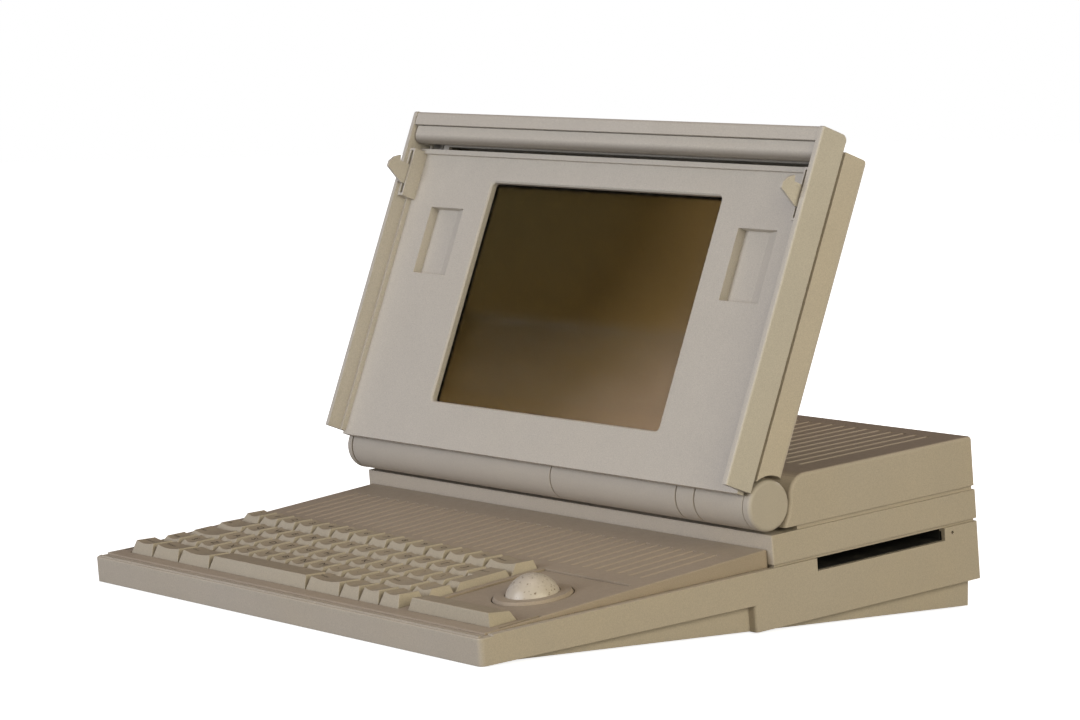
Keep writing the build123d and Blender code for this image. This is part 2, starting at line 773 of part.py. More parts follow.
def named_keys():
    """The places of the keys, gathered by the piece they belong to."""
    places = {}
    for row, names in enumerate(ROW_NAMES):
        for index, name in enumerate(names):
            places.setdefault(name, []).append((row, index))
    return places


def key_piece(places):
    """Equal key caps of one row, each at its own place."""
    row, first = places[0]
    cap = key_cap(ROW_UNITS[row][first], row)
    caps = [cap.moved(Location((key_centre(row, index)[0], 0, 0))) for _, index in places]
    return caps[0] if len(caps) == 1 else Part() + caps


def shrunk_outline(left, right, step_left, front, split_s, back):
    """Corners of the two-row key: narrow in front, wider behind."""
    return [
        (step_left, front),
        (right, front),
        (right, back),
        (left, back),
        (left, split_s),
        (step_left, split_s),
    ]


def return_cap():
    """The two-row return key, wider in its rear row."""
    left = return_right - RETURN_UPPER * KEY_PITCH + KEY_GAP / 2
    step_left = return_right - RETURN_LOWER * KEY_PITCH + KEY_GAP / 2
    right = return_right - KEY_GAP / 2
    front = KEYS_FRONT + 2 * KEY_PITCH + KEY_GAP / 2
    back = KEYS_FRONT + 4 * KEY_PITCH - KEY_GAP / 2
    split_s = return_split + KEY_GAP / 2
    top_front = front + ROW_FRONT_SLOPE[2]
    top_back = back - ROW_BACK_SLOPE[3]
    crown = top_plane(top_front, top_back, ROW_FRONT_TOP[2], ROW_BACK_TOP[3])
    with BuildPart() as cap:
        with BuildSketch(DECK.offset(-CAP_BASE)):
            with BuildLine():
                Polyline(*shrunk_outline(left, right, step_left, front, split_s, back), close=True)
            make_face()
        with BuildSketch(crown):
            with BuildLine():
                Polyline(
                    *shrunk_outline(
                        left + CAP_SIDE_SLOPE,
                        right - CAP_SIDE_SLOPE,
                        step_left + CAP_SIDE_SLOPE,
                        0,
                        split_s + CAP_SIDE_SLOPE - top_front,
                        top_back - top_front,
                    ),
                    close=True,
                )
            make_face()
        loft()
        with BuildSketch(DECK.offset(-STEM_END)):
            with Locations(return_centre):
                Rectangle(STEM_WIDTH, STEM_DEPTH)
        extrude(amount=STEM_END)
    return cap.part


for name, places in named_keys().items():
    save(key_piece(places), name)
save(return_cap(), "return_key")

# ---------------------------------------------------------------- trackball module
panel_front = panel_start + MODULE_GAP
panel_back = module_back - MODULE_GAP
panel_left = module_left + MODULE_GAP
panel_right = module_right - MODULE_GAP
BALL = Plane(
    origin=DECK.from_local_coords(Vector(ball_x, ball_s, ball_h)),
    x_dir=(1, 0, 0),
    z_dir=DECK.z_dir,
)
ball_side = Plane(origin=BALL.origin, x_dir=(1, 0, 0), z_dir=BALL.y_dir * -1)

with BuildPart() as trackball_panel:
    with BuildSketch(DECK.offset(panel_bottom)):
        with Locations(((panel_left + panel_right) / 2, (panel_front + panel_back) / 2)):
            Rectangle(panel_right - panel_left, panel_back - panel_front)
        with Locations((ball_x, ball_s)):
            Circle(RING_R + RING_GAP, mode=Mode.SUBTRACT)
    extrude(amount=PANEL_THICK)
    fillet(
        trackball_panel.faces().sort_by(Axis(DECK.origin, DECK.z_dir))[-1].outer_wire().edges(),
        EDGE_R / 3,
    )
save(trackball_panel.part, "trackball_panel")

ring_bottom = panel_bottom + RING_FLOAT
with BuildPart() as trackball_ring:
    with BuildSketch(ball_side):
        with BuildLine():
            Polyline(
                (BALL_R - RING_CONE, ring_bottom - ball_h),
                (RING_R, ring_bottom - ball_h),
                (RING_R, -PANEL_SUNK - ball_h),
                (RING_R - EDGE_R, RING_RISE - PANEL_SUNK - ball_h),
                (BALL_R - RING_CONE, RING_RISE - PANEL_SUNK - ball_h),
                close=True,
            )
        make_face()
    revolve(axis=Axis(BALL.origin, BALL.z_dir))
    with Locations(BALL.location):
        Sphere(BALL_R + BALL_GAP, mode=Mode.SUBTRACT)
save(trackball_ring.part, "trackball_ring")

with BuildPart() as trackball:
    with Locations(BALL.location):
        Sphere(BALL_R)
save(trackball.part, "trackball")

roller_reach = BALL_R + BALL_GAP + ROLLER_R
roller_out = roller_reach * cos(radians(ROLLER_DROP))
roller_down = roller_reach * sin(radians(ROLLER_DROP))


def roller_plane(direction):
    """Plane across a roller's spindle, at the middle of the roller."""
    out = BALL.x_dir * direction[0] + BALL.y_dir * direction[1]
    along = BALL.y_dir * direction[0] + BALL.x_dir * direction[1]
    origin = BALL.origin + out * roller_out - BALL.z_dir * roller_down
    return Plane(origin=origin, x_dir=out, z_dir=along)


rollers = {"roller_back": (0, 1), "roller_left": (-1, 0)}


def roller(direction):
    """A spindle with a contact roller in the middle and an encoder disc at one end."""
    spindle = roller_plane(direction)
    disc_end = SPINDLE_LENGTH / 2 - POST_SIZE - MODULE_GAP
    with BuildPart() as body:
        with BuildSketch(spindle.offset(-SPINDLE_LENGTH / 2)):
            Circle(SPINDLE_R)
        extrude(amount=SPINDLE_LENGTH)
        with BuildSketch(spindle.offset(-ROLLER_LENGTH / 2)):
            Circle(ROLLER_R)
        extrude(amount=ROLLER_LENGTH)
        with BuildSketch(spindle.offset(disc_end - ENCODER_THICK)):
            Circle(ENCODER_R)
        extrude(amount=ENCODER_THICK)
    return body.part


for name, direction in rollers.items():
    save(roller(direction), name)

socket_bottom = panel_bottom - SOCKET_PLATE
with BuildPart() as trackball_socket:
    add(
        box_on(
            DECK,
            (module_left - WELL_WALL, MODULE_FRONT - WELL_WALL, socket_bottom),
            (module_right + WELL_WALL, module_back + WELL_WALL, panel_bottom),
        )
    )
    with Locations(BALL.location):
        Sphere(BALL_R + SOCKET_GAP + SOCKET_WALL)
    split(bisect_by=DECK.offset(panel_bottom), keep=Keep.BOTTOM)
    with Locations(BALL.location):
        Sphere(BALL_R + SOCKET_GAP, mode=Mode.SUBTRACT)
    for name, direction in rollers.items():
        window = roller_plane(direction)
        post_at = SPINDLE_LENGTH / 2 - POST_SIZE / 2
        # clear way for the roller and the encoder disc
        with BuildSketch(window.offset(-post_at)):
            Circle(ROLLER_R + SOCKET_GAP)
        extrude(amount=2 * post_at, mode=Mode.SUBTRACT)
        disc_start = post_at - POST_SIZE / 2 - ENCODER_THICK - 2 * MODULE_GAP
        with BuildSketch(window.offset(disc_start)):
            Circle(ENCODER_R + SOCKET_GAP)
        extrude(amount=ENCODER_THICK + 2 * MODULE_GAP, mode=Mode.SUBTRACT)
        # bearing posts that hang from the socket plate
        for end in (-1, 1):
            with BuildSketch(window.offset(end * post_at - POST_SIZE / 2)):
                drop = roller_down - (ball_h - socket_bottom)
                up = 1 if window.y_dir.dot(DECK.z_dir) > 0 else -1
                with Locations((0, up * (drop - POST_SIZE) / 2)):
                    Rectangle(POST_SIZE, drop + POST_SIZE)
                Circle(SPINDLE_R + RUN_FIT, mode=Mode.SUBTRACT)
            extrude(amount=POST_SIZE)
save(trackball_socket.part, "trackball_socket")

button_front = MODULE_FRONT + MODULE_GAP
button_back = button_front + BUTTON_LENGTH - MODULE_GAP
button_bottom = -PANEL_SUNK - SOCKET_GAP
button_low_x = button_left + MODULE_GAP
button_high_x = button_right - MODULE_GAP
BUTTON_SIDE = Plane(origin=DECK.origin, x_dir=DECK.y_dir, z_dir=(1, 0, 0))
BUTTON_ENDS = Plane(
    origin=DECK.from_local_coords(Vector(0, button_back + 1, 0)),
    x_dir=(1, 0, 0),
    z_dir=DECK.y_dir * -1,
)
button_slopes = (BUTTON_LEFT_SLOPE + BUTTON_RIGHT_SLOPE) / 2
with BuildPart() as trackball_button:
    with BuildSketch(BUTTON_SIDE.offset(button_low_x)):
        with BuildLine():
            Polyline(
                (button_front, button_bottom),
                (button_back, button_bottom),
                (button_back, -PANEL_SUNK),
                (button_back - BUTTON_BACK_SLOPE, BUTTON_BACK_TOP),
                (button_front + BUTTON_FRONT_SLOPE, BUTTON_FRONT_TOP),
                (button_front, 0),
                close=True,
            )
        make_face()
    extrude(amount=button_high_x - button_low_x)
    # both ends lean inwards
    for end_x, slope in ((button_low_x, BUTTON_LEFT_SLOPE), (button_high_x, -BUTTON_RIGHT_SLOPE)):
        outside = end_x - slope
        with BuildSketch(BUTTON_ENDS):
            with BuildLine():
                Polyline(
                    (end_x, 0),
                    (end_x + slope, BUTTON_FRONT_TOP),
                    (end_x + slope, 2 * BUTTON_FRONT_TOP),
                    (outside, 2 * BUTTON_FRONT_TOP),
                    (outside, 0),
                    close=True,
                )
            make_face()
        extrude(amount=button_back - button_front + 2, mode=Mode.SUBTRACT)
    fillet(
        trackball_button.faces().sort_by(Axis(DECK.origin, DECK.z_dir))[-1].edges(),
        BUTTON_EDGE_R,
    )
    with BuildSketch(DECK.offset(button_bottom)):
        with Locations(
            (
                (button_low_x + button_high_x + (BUTTON_LEFT_SLOPE - BUTTON_RIGHT_SLOPE) / 2) / 2,
                (button_front + button_back) / 2,
            )
        ):
            Rectangle(
                button_high_x - button_low_x - button_slopes - 2 * BUTTON_SHELL,
                button_back - button_front - 2 * (BUTTON_SHELL + BUTTON_BACK_SLOPE / 2),
            )
    extrude(amount=BUTTON_BACK_TOP - BUTTON_SHELL - button_bottom, mode=Mode.SUBTRACT)
save(trackball_button.part, "trackball_button")

# ---------------------------------------------------------------- middle band and rear cover
lip_half = half - SEAM_INSET
cover_lip_front = cover_front + WALL + SEAM_INSET

with BuildPart() as mid_band:
    add(box_on(CASE, (-half, band_front, band_bottom), (half, CASE_DEPTH, band_top)))
    fillet(mid_band.edges().filter_by(Axis(CASE.origin, CASE.z_dir), tolerance=0.1), CASE_REAR_R)
    with BuildSketch(CASE.offset(SEAM_HEIGHT)):
        with Locations((0, (band_front + CASE_DEPTH) / 2)):
            Rectangle(2 * lip_half, CASE_DEPTH - band_front - 2 * SEAM_INSET)
    extrude(amount=SEAM_GROOVE)
    with BuildSketch(CASE.offset(SEAM_HEIGHT)):
        with Locations((0, (band_front + CASE_DEPTH) / 2)):
            Rectangle(2 * (lip_half - WALL), CASE_DEPTH - band_front - 2 * (SEAM_INSET + WALL))
    extrude(amount=SEAM_GROOVE + BAND_HEIGHT - WALL, mode=Mode.SUBTRACT)
    # lip that carries the rear cover
    with BuildSketch(CASE.offset(band_top)):
        with Locations((0, (cover_lip_front + CASE_DEPTH - SEAM_INSET) / 2)):
            Rectangle(2 * lip_half, CASE_DEPTH - SEAM_INSET - cover_lip_front)
            Rectangle(
                2 * (lip_half - WALL),
                CASE_DEPTH - SEAM_INSET - cover_lip_front - 2 * WALL,
                mode=Mode.SUBTRACT,
            )
    extrude(amount=COVER_GROOVE)
save(mid_band.part, "mid_band")

cover_groove_back = CASE_DEPTH - COVER_GROOVE_MARGIN
cover_profile_front = [
    (cover_front - COVER_NOSE_REACH, cover_bottom),
    (cover_front - COVER_NOSE_BEND, cover_bottom + COVER_NOSE_RISE),
    (cover_front, hinge_v),
    (cover_front, cover_top - COVER_FRONT_R),
]
with BuildPart() as rear_cover:
    with BuildSketch(SIDE) as cover_outline:
        with BuildLine():
            Polyline(*cover_profile_front)
            RadiusArc(
                (cover_front, cover_top - COVER_FRONT_R),
                (cover_front + COVER_FRONT_R, cover_top),
                COVER_FRONT_R,
            )
            Polyline(
                (cover_front + COVER_FRONT_R, cover_top),
                (CASE_DEPTH - COVER_REAR_R, cover_top),
            )
            RadiusArc(
                (CASE_DEPTH - COVER_REAR_R, cover_top),
                (CASE_DEPTH, cover_top - COVER_REAR_R),
                COVER_REAR_R,
            )
            Polyline(
                (CASE_DEPTH, cover_top - COVER_REAR_R),
                (CASE_DEPTH, cover_bottom),
                cover_profile_front[0],
            )
        make_face()
    extrude(amount=half, both=True)
    rims = [
        edge
        for edge in rear_cover.edges()
        if abs(abs(edge.center().X) - half) < 0.01
        and CASE.to_local_coords(edge.center()).Z > cover_bottom + EDGE_R
    ]
    fillet(rims, COVER_EDGE_R)
    with BuildSketch(SIDE):
        with BuildLine():
            Polyline(
                (cover_front - COVER_NOSE_REACH + WALL, cover_bottom - 1),
                (cover_front - COVER_NOSE_REACH + WALL, cover_bottom),
                (cover_front - COVER_NOSE_BEND + WALL, cover_bottom + COVER_NOSE_RISE),
                (cover_front + WALL, hinge_v),
                (cover_front + WALL, cover_top - COVER_FRONT_R),
                (cover_front + COVER_FRONT_R, cover_top - WALL),
                (CASE_DEPTH - WALL, cover_top - WALL),
                (CASE_DEPTH - WALL, cover_bottom - 1),
                close=True,
            )
        make_face()
    extrude(amount=half - WALL, both=True, mode=Mode.SUBTRACT)
    with Locations(
        *[
            CASE.location
            * Location(
                (x, (COVER_GROOVE_FRONT + cover_groove_back) / 2, cover_top + GROOVE_R - GROOVE_DEPTH)
            )
            for x in groove_positions(half, GROOVE_SIDE_MARGIN)
        ]
    ):
        Cylinder(
            radius=GROOVE_R,
            height=cover_groove_back - COVER_GROOVE_FRONT,
            rotation=(90, 0, 0),
            mode=Mode.SUBTRACT,
        )
save(rear_cover.part, "rear_cover")

# ---------------------------------------------------------------- hinge barrel
segment_end = half - CAP_THICK - BARREL_JOINT
shaft_end = half - CAP_THICK / 2


def barrel_segment(start, end):
    """Hollow barrel segment with end webs bored for the shaft."""
    with BuildPart() as segment:
        with BuildSketch(AXLE.offset(start)):
            Circle(BARREL_R)
        extrude(amount=end - start)
        fillet(segment.edges(), BARREL_JOINT)
        with BuildSketch(AXLE.offset(start + BARREL_WEB)):
            Circle(BARREL_R - BARREL_WALL)
        extrude(amount=end - start - 2 * BARREL_WEB, mode=Mode.SUBTRACT)
        with BuildSketch(AXLE.offset(start)):
            Circle(SHAFT_R + RUN_FIT)
        extrude(amount=end - start, mode=Mode.SUBTRACT)
    return segment.part


def barrel_foot(start, end):
    """Foot that carries a fixed segment on the middle band."""
    with BuildPart() as foot:
        with BuildSketch(AXLE.offset(start)):
            with Locations((FOOT_BACK + FOOT_LENGTH / 2, FOOT_HEIGHT / 2 - BARREL_R - BARREL_LIFT)):
                Rectangle(FOOT_LENGTH, FOOT_HEIGHT)
        extrude(amount=end - start)
    return foot.part


def hinge_neck(start, end):
    """Neck from a turning segment up into the display."""
    neck_front = chassis_back
    with BuildPart() as neck:
        with BuildSketch(LID_SIDE.offset(-end)):
            with BuildLine():
                Polyline(
                    (BARREL_R / 2 - AXIS_BELOW + 2, neck_front),
                    (NECK_REACH, neck_front),
                    (NECK_REACH, neck_front + NECK_THICK),
                    (BARREL_R / 2 - AXIS_BELOW + 2, neck_front + NECK_THICK),
                    close=True,
                )
            make_face()
        extrude(amount=end - start)
    return neck.part


plate_back = BEZEL_DEPTH + BEZEL_THICK
glass_front = plate_back + SCREEN_COLLAR
lcd_front = glass_front + GLASS_THICK
chassis_front = lcd_front + LCD_THICK
chassis_back = chassis_front + CHASSIS_THICK
ring_end = half - RIGHT_SEGMENT_LENGTH
ring_start = ring_end - RING_SEGMENT_LENGTH
neck_spans = {
    "barrel_left": (-segment_end + NECK_MARGIN, LONG_SEGMENT_END - NECK_MARGIN),
    "barrel_ring": (ring_start + BARREL_WEB, ring_end - BARREL_WEB),
}
foot_spans = {
    "barrel_centre": (LONG_SEGMENT_END + FOOT_MARGIN, ring_start - FOOT_MARGIN),
    "barrel_right": (ring_end + FOOT_MARGIN, segment_end - FOOT_MARGIN / 2),
}
turning = {
    "barrel_left": (-segment_end, LONG_SEGMENT_END - BARREL_JOINT / 2),
    "barrel_ring": (ring_start + BARREL_JOINT / 2, ring_end - BARREL_JOINT / 2),
}
fixed = {
    "barrel_centre": (LONG_SEGMENT_END + BARREL_JOINT / 2, ring_start - BARREL_JOINT / 2),
    "barrel_right": (ring_end + BARREL_JOINT / 2, segment_end),
}
for name, (start, end) in turning.items():
    save(barrel_segment(start, end) + hinge_neck(*neck_spans[name]), name)
for name, (start, end) in fixed.items():
    save(barrel_segment(start, end) + barrel_foot(*foot_spans[name]), name)

with BuildPart() as hinge_shaft:
    with BuildSketch(AXLE.offset(-shaft_end)):
        Circle(SHAFT_R)
    extrude(amount=2 * shaft_end)
save(hinge_shaft.part, "hinge_shaft")

with BuildPart() as barrel_caps:
    for side in (-1, 1):
        inner = side * (half - CAP_THICK)
        with BuildSketch(AXLE.offset(inner)):
            Circle(CAP_R)
        extrude(amount=side * CAP_THICK)
        outer_edge = barrel_caps.edges().filter_by(GeomType.CIRCLE).sort_by(Axis.X)[-1 if side > 0 else 0]
        fillet(outer_edge, CAP_EDGE_R)
        with BuildSketch(AXLE.offset(inner)):
            Circle(SHAFT_R + RUN_FIT)
        extrude(amount=side * (CAP_THICK / 2 + RUN_FIT), mode=Mode.SUBTRACT)
save(barrel_caps.part, "barrel_caps")

# ---------------------------------------------------------------- display shells
screen_mid = SCREEN_BOTTOM + SCREEN_HEIGHT / 2
recess_floor = BEZEL_DEPTH + RECESS_DEPTH
rear_front = FRONT_SHELL_DEPTH + SHELL_GROOVE
rear_back = rear_front + REAR_SHELL_DEPTH
boss_x = half - BOSS_MARGIN
boss_places = mirrored([(boss_x, BOSS_LOW), (boss_x, bezel_top - BOSS_BELOW_TOP)])
recess_low = shut_w - ball_s - RECESS_REAR
recess_high = shut_w - ball_s + RECESS_FRONT
tongue_half = half - TONGUE_INSET
housing_bottom = slot_bottom - HOUSING_WALL
housing_top = bezel_top - HOUSING_BELOW


def rims_screen(edge):
    """Whether an edge on the bezel's front runs round the screen opening."""
    middle = LID.to_local_coords(edge.center())
    on_front = abs(middle.Z + BEZEL_DEPTH) < 0.01
    across = abs(middle.X) < SCREEN_WIDTH / 2 + 0.01
    return on_front and across and abs(middle.Y - screen_mid) < SCREEN_HEIGHT / 2 + 0.01


def recess_prism(side, grow, floor_extra):
    """Pocket with a steep wall and a flat floor at its left and a ramp that rises to the right."""
    left = ball_x - RECESS_LEFT if side > 0 else -ball_x - RECESS_RIGHT
    right = left + RECESS_LEFT + RECESS_RIGHT + grow
    left -= grow
    flat_end = left + RECESS_FLAT + 2 * grow
    floor_t = recess_floor + floor_extra
    shelf_t = BEZEL_DEPTH + RECESS_EDGE + floor_extra
    across = Plane(
        origin=LID.from_local_coords(Vector(0, recess_low - grow, 0)),
        x_dir=(1, 0, 0),
        z_dir=LID.y_dir,
    )
    with BuildPart() as pocket:
        with BuildSketch(across):
            with BuildLine():
                Polyline(
                    (left, BEZEL_DEPTH - 1 + floor_extra),
                    (left, floor_t),
                    (flat_end, floor_t),
                    (right, shelf_t),
                    (right, BEZEL_DEPTH - 1 + floor_extra),
                    close=True,
                )
            make_face()
        extrude(amount=recess_high - recess_low + 2 * grow)
    return pocket.part


with BuildPart() as display_front_shell:
    # side walls, rounded at their upper ends and along their outer edges
    for side in (-1, 1):
        low_x, high_x = sorted((side * rim_inner, side * half))
        add(box_on(LID, (low_x, 0, -FRONT_SHELL_DEPTH), (high_x, lid_height, 0)))
    for depth, radius in ((0, RIM_FRONT_R), (FRONT_SHELL_DEPTH, RIM_BACK_R)):
        corner_edges = [
            edge
            for edge in display_front_shell.edges().filter_by(Axis.X)
            if LID.to_local_coords(edge.center()).Y > lid_height - 0.01
            and abs(LID.to_local_coords(edge.center()).Z + depth) < 0.01
        ]
        fillet(corner_edges, radius)
    outer_edges = [
        edge
        for edge in display_front_shell.edges().filter_by(Axis(LID.origin, LID.y_dir))
        if abs(edge.center().X) > half - 0.01
    ]
    fillet(outer_edges, EDGE_R)
    # bezel plate with a lower return, an upper return and a raised lip along the top
    for low, high in (
        ((-BEZEL_BELOW, BEZEL_DEPTH), (bezel_top, plate_back)),
        ((-BEZEL_BELOW, BEZEL_DEPTH), (BEZEL_THICK - BEZEL_BELOW, BEZEL_DEPTH + BEZEL_RETURN)),
        ((bezel_top - BEZEL_THICK, BEZEL_DEPTH), (bezel_top, FRONT_SHELL_DEPTH)),
        ((bezel_top - BEZEL_LIP, BEZEL_DEPTH - BEZEL_LIP_PROUD), (bezel_top, BEZEL_DEPTH)),
        (
            (bezel_top, FRONT_SHELL_DEPTH - BEZEL_THICK + CLEAR),
            (rear_shell_top, FRONT_SHELL_DEPTH),
        ),
    ):
        add(box_on(LID, (-rim_inner, low[0], -high[1]), (rim_inner, high[0], -low[1])))
    # dark gap under the latch bar
    add(
        box_on(
            LID,
            (-RETURN_GAP_HALF, bezel_top, -FRONT_SHELL_DEPTH - 1),
            (RETURN_GAP_HALF, bezel_top + RETURN_GAP, -FRONT_SHELL_DEPTH + BEZEL_THICK),
        ),
        mode=Mode.SUBTRACT,
    )
    # housings of the hooks and a rib along the inside of each side wall
    for side in (-1, 1):
        low_x, high_x = sorted((side * housing_inner, side * rim_inner))
        add(box_on(LID, (low_x, housing_bottom, -BEZEL_DEPTH), (high_x, housing_top, -HOUSING_FRONT)))
        low_x, high_x = sorted((side * (rim_inner - RIM_RIB), side * rim_inner))
        add(box_on(LID, (low_x, 0, -BEZEL_DEPTH), (high_x, housing_bottom, -RIM_RIB_DEPTH)))
    # screen opening with a collar that meets the glass
    with BuildSketch(lid_depth(glass_front)):
        with Locations((0, screen_mid)):
            Rectangle(SCREEN_WIDTH + 2 * COLLAR_WALL, SCREEN_HEIGHT + 2 * COLLAR_WALL)
    extrude(amount=SCREEN_COLLAR)
    with BuildSketch(lid_depth(glass_front)):
        with Locations((0, screen_mid)):
            RectangleRounded(SCREEN_WIDTH, SCREEN_HEIGHT, SCREEN_R)
    extrude(amount=SCREEN_COLLAR + BEZEL_THICK, mode=Mode.SUBTRACT)
    chamfer(display_front_shell.edges().filter_by(rims_screen), SCREEN_BEVEL)
    # pockets beside the screen that clear the trackball
    for side in (-1, 1):
        add(recess_prism(side, WELL_WALL, WELL_WALL))
    for side in (-1, 1):
        add(recess_prism(side, 0, 0), mode=Mode.SUBTRACT)
    # hook slots, arm slots and screw bosses
    for side in (-1, 1):
        with BuildSketch(lid_depth(FRONT_SHELL_DEPTH + 1)):
            with Locations((side * slot_mid, (slot_bottom + slot_top) / 2)):
                Rectangle(slot_wide, slot_top - slot_bottom)
        extrude(amount=FRONT_SHELL_DEPTH + 1, mode=Mode.SUBTRACT)
        with BuildSketch(lid_depth(FRONT_SHELL_DEPTH + 1)):
            with Locations((side * slot_mid, (bezel_top - BEZEL_THICK + rear_shell_top) / 2)):
                Rectangle(slot_wide, rear_shell_top - bezel_top + BEZEL_THICK + 2)
        extrude(amount=FRONT_SHELL_DEPTH - BEZEL_DEPTH + 2, mode=Mode.SUBTRACT)
        with BuildSketch(lid_depth(FRONT_SHELL_DEPTH + 1)):
            with Locations((side * (arm_inner + arm_outer) / 2, (bezel_top + rear_shell_top) / 2)):
                Rectangle(ARM_WIDTH + 2 * CLEAR, rear_shell_top - bezel_top + 2 * BEZEL_THICK + 2)
        extrude(amount=FRONT_SHELL_DEPTH + 1 - plate_back, mode=Mode.SUBTRACT)
    with BuildSketch(lid_depth(chassis_front)):
        with Locations(*boss_places):
            Circle(BOSS_R)
            Circle(SCREW_R + SCREW_GAP, mode=Mode.SUBTRACT)
    extrude(amount=chassis_front - plate_back)
save(display_front_shell.part, "display_front_shell")


def arc_w(t, radius):
    """Height at which a circle about the hinge axis is met at depth t."""
    return sqrt(radius**2 - (AXIS_BEHIND - t) ** 2) - AXIS_BELOW


inner_radius = REAR_SHELL_R + REAR_WALL
with BuildPart() as display_rear_shell:
    with BuildSketch(LID_SIDE):
        with BuildLine():
            RadiusArc(
                (arc_w(rear_front, REAR_SHELL_R), rear_front),
                (arc_w(rear_back, REAR_SHELL_R), rear_back),
                -REAR_SHELL_R,
            )
            Polyline(
                (arc_w(rear_back, REAR_SHELL_R), rear_back),
                (rear_shell_top, rear_back),
                (rear_shell_top, rear_front),
                (arc_w(rear_front, REAR_SHELL_R), rear_front),
            )
        make_face()
    extrude(amount=half, both=True)
    back_edges = [
        edge
        for edge in display_rear_shell.edges()
        if LID.to_local_coords(edge.center()).Z < -rear_back + 0.01
        and LID.to_local_coords(edge.center()).Y > REAR_SHELL_R + 1
    ]
    fillet(back_edges, REAR_EDGE_R)
    # tongue that closes the groove between the shells
    add(
        box_on(
            LID,
            (-tongue_half, arc_w(FRONT_SHELL_DEPTH + 1, inner_radius), -rear_front),
            (tongue_half, rear_shell_top - TONGUE_INSET, -FRONT_SHELL_DEPTH),
        )
    )
    # hollow, with a curved wall around the barrel
    with BuildSketch(LID_SIDE):
        with BuildLine():
            RadiusArc(
                (arc_w(FRONT_SHELL_DEPTH, inner_radius + 1), FRONT_SHELL_DEPTH),
                (arc_w(rear_back - REAR_WALL, inner_radius + 1), rear_back - REAR_WALL),
                -inner_radius - 1,
            )
            Polyline(
                (arc_w(rear_back - REAR_WALL, inner_radius + 1), rear_back - REAR_WALL),
                (rear_shell_top - TONGUE_INSET - REAR_WALL, rear_back - REAR_WALL),
                (rear_shell_top - TONGUE_INSET - REAR_WALL, FRONT_SHELL_DEPTH),
                (arc_w(FRONT_SHELL_DEPTH, inner_radius + 1), FRONT_SHELL_DEPTH),
            )
        make_face()
    extrude(amount=tongue_half - REAR_WALL, both=True, mode=Mode.SUBTRACT)
    # slots for the hinge necks
    for start, end in neck_spans.values():
        add(
            box_on(
                LID,
                (start - CLEAR, 0, -chassis_back - NECK_THICK - CLEAR),
                (end + CLEAR, NECK_REACH, -chassis_back + CLEAR),
            ),
            mode=Mode.SUBTRACT,
        )
    # notches in the tongue for the handle arms and the latch links
    for side in (-1, 1):
        for low_x, high_x in ((arm_inner, arm_outer), (hook_inner, hook_outer)):
            first, second = sorted((side * (low_x - CLEAR), side * (high_x + CLEAR)))
            add(
                box_on(
                    LID,
                    (first, bezel_top, -rear_front - CLEAR / 2),
                    (second, rear_shell_top, -FRONT_SHELL_DEPTH + 1),
                ),
                mode=Mode.SUBTRACT,
            )
    # posts that press on the chassis
    with BuildSketch(lid_depth(rear_back - REAR_WALL)):
        with Locations(*boss_places):
            Circle(BOSS_R)
            Circle(SCREW_HEAD_R + SCREW_GAP, mode=Mode.SUBTRACT)
    extrude(amount=rear_back - REAR_WALL - chassis_back)
save(display_rear_shell.part, "display_rear_shell")

# ---------------------------------------------------------------- screen and display inside

def screen_slab(margin, front, thickness):
    """A slab behind the screen opening, larger than it by a margin."""
    with BuildPart() as slab:
        with BuildSketch(lid_depth(front + thickness)):
            with Locations((0, screen_mid)):
                Rectangle(SCREEN_WIDTH + 2 * margin, SCREEN_HEIGHT + 2 * margin)
        extrude(amount=thickness)
    return slab.part


save(screen_slab(GLASS_MARGIN, glass_front, GLASS_THICK), "screen_glass")
save(screen_slab(LCD_MARGIN, lcd_front, LCD_THICK), "lcd_panel")

chassis_top = bezel_top - CHASSIS_BELOW_TOP
with BuildPart() as display_chassis:
    with BuildSketch(lid_depth(chassis_back)):
        with Locations((0, (CHASSIS_BOTTOM + chassis_top) / 2)):
            Rectangle(2 * (half - CHASSIS_MARGIN), chassis_top - CHASSIS_BOTTOM)
        with Locations(*boss_places):
            Circle(SCREW_R + SCREW_GAP, mode=Mode.SUBTRACT)
    extrude(amount=CHASSIS_THICK)
save(display_chassis.part, "display_chassis")

with BuildPart() as display_screws:
    with BuildSketch(lid_depth(chassis_back + SCREW_HEAD)):
        with Locations(*boss_places):
            Circle(SCREW_HEAD_R)
    extrude(amount=SCREW_HEAD)
    with BuildSketch(lid_depth(chassis_back)):
        with Locations(*boss_places):
            Circle(SCREW_R)
    extrude(amount=SCREW_LENGTH)
save(display_screws.part, "display_screws")

with BuildPart() as display_board:
    add(
        box_on(
            LID,
            (-VIDEO_BOARD_WIDTH / 2, screen_mid - VIDEO_BOARD_LENGTH / 2, -chassis_back - BOARD_THICK),
            (VIDEO_BOARD_WIDTH / 2, screen_mid + VIDEO_BOARD_LENGTH / 2, -chassis_back),
        )
    )
    for x, above, size in VIDEO_CHIPS:
        w = screen_mid + above
        low = (x - size / 2, w - size / 2, -chassis_back - BOARD_THICK - WALL)
        high = (x + size / 2, w + size / 2, -chassis_back - BOARD_THICK)
        add(box_on(LID, low, high))
save(display_board.part, "display_board")

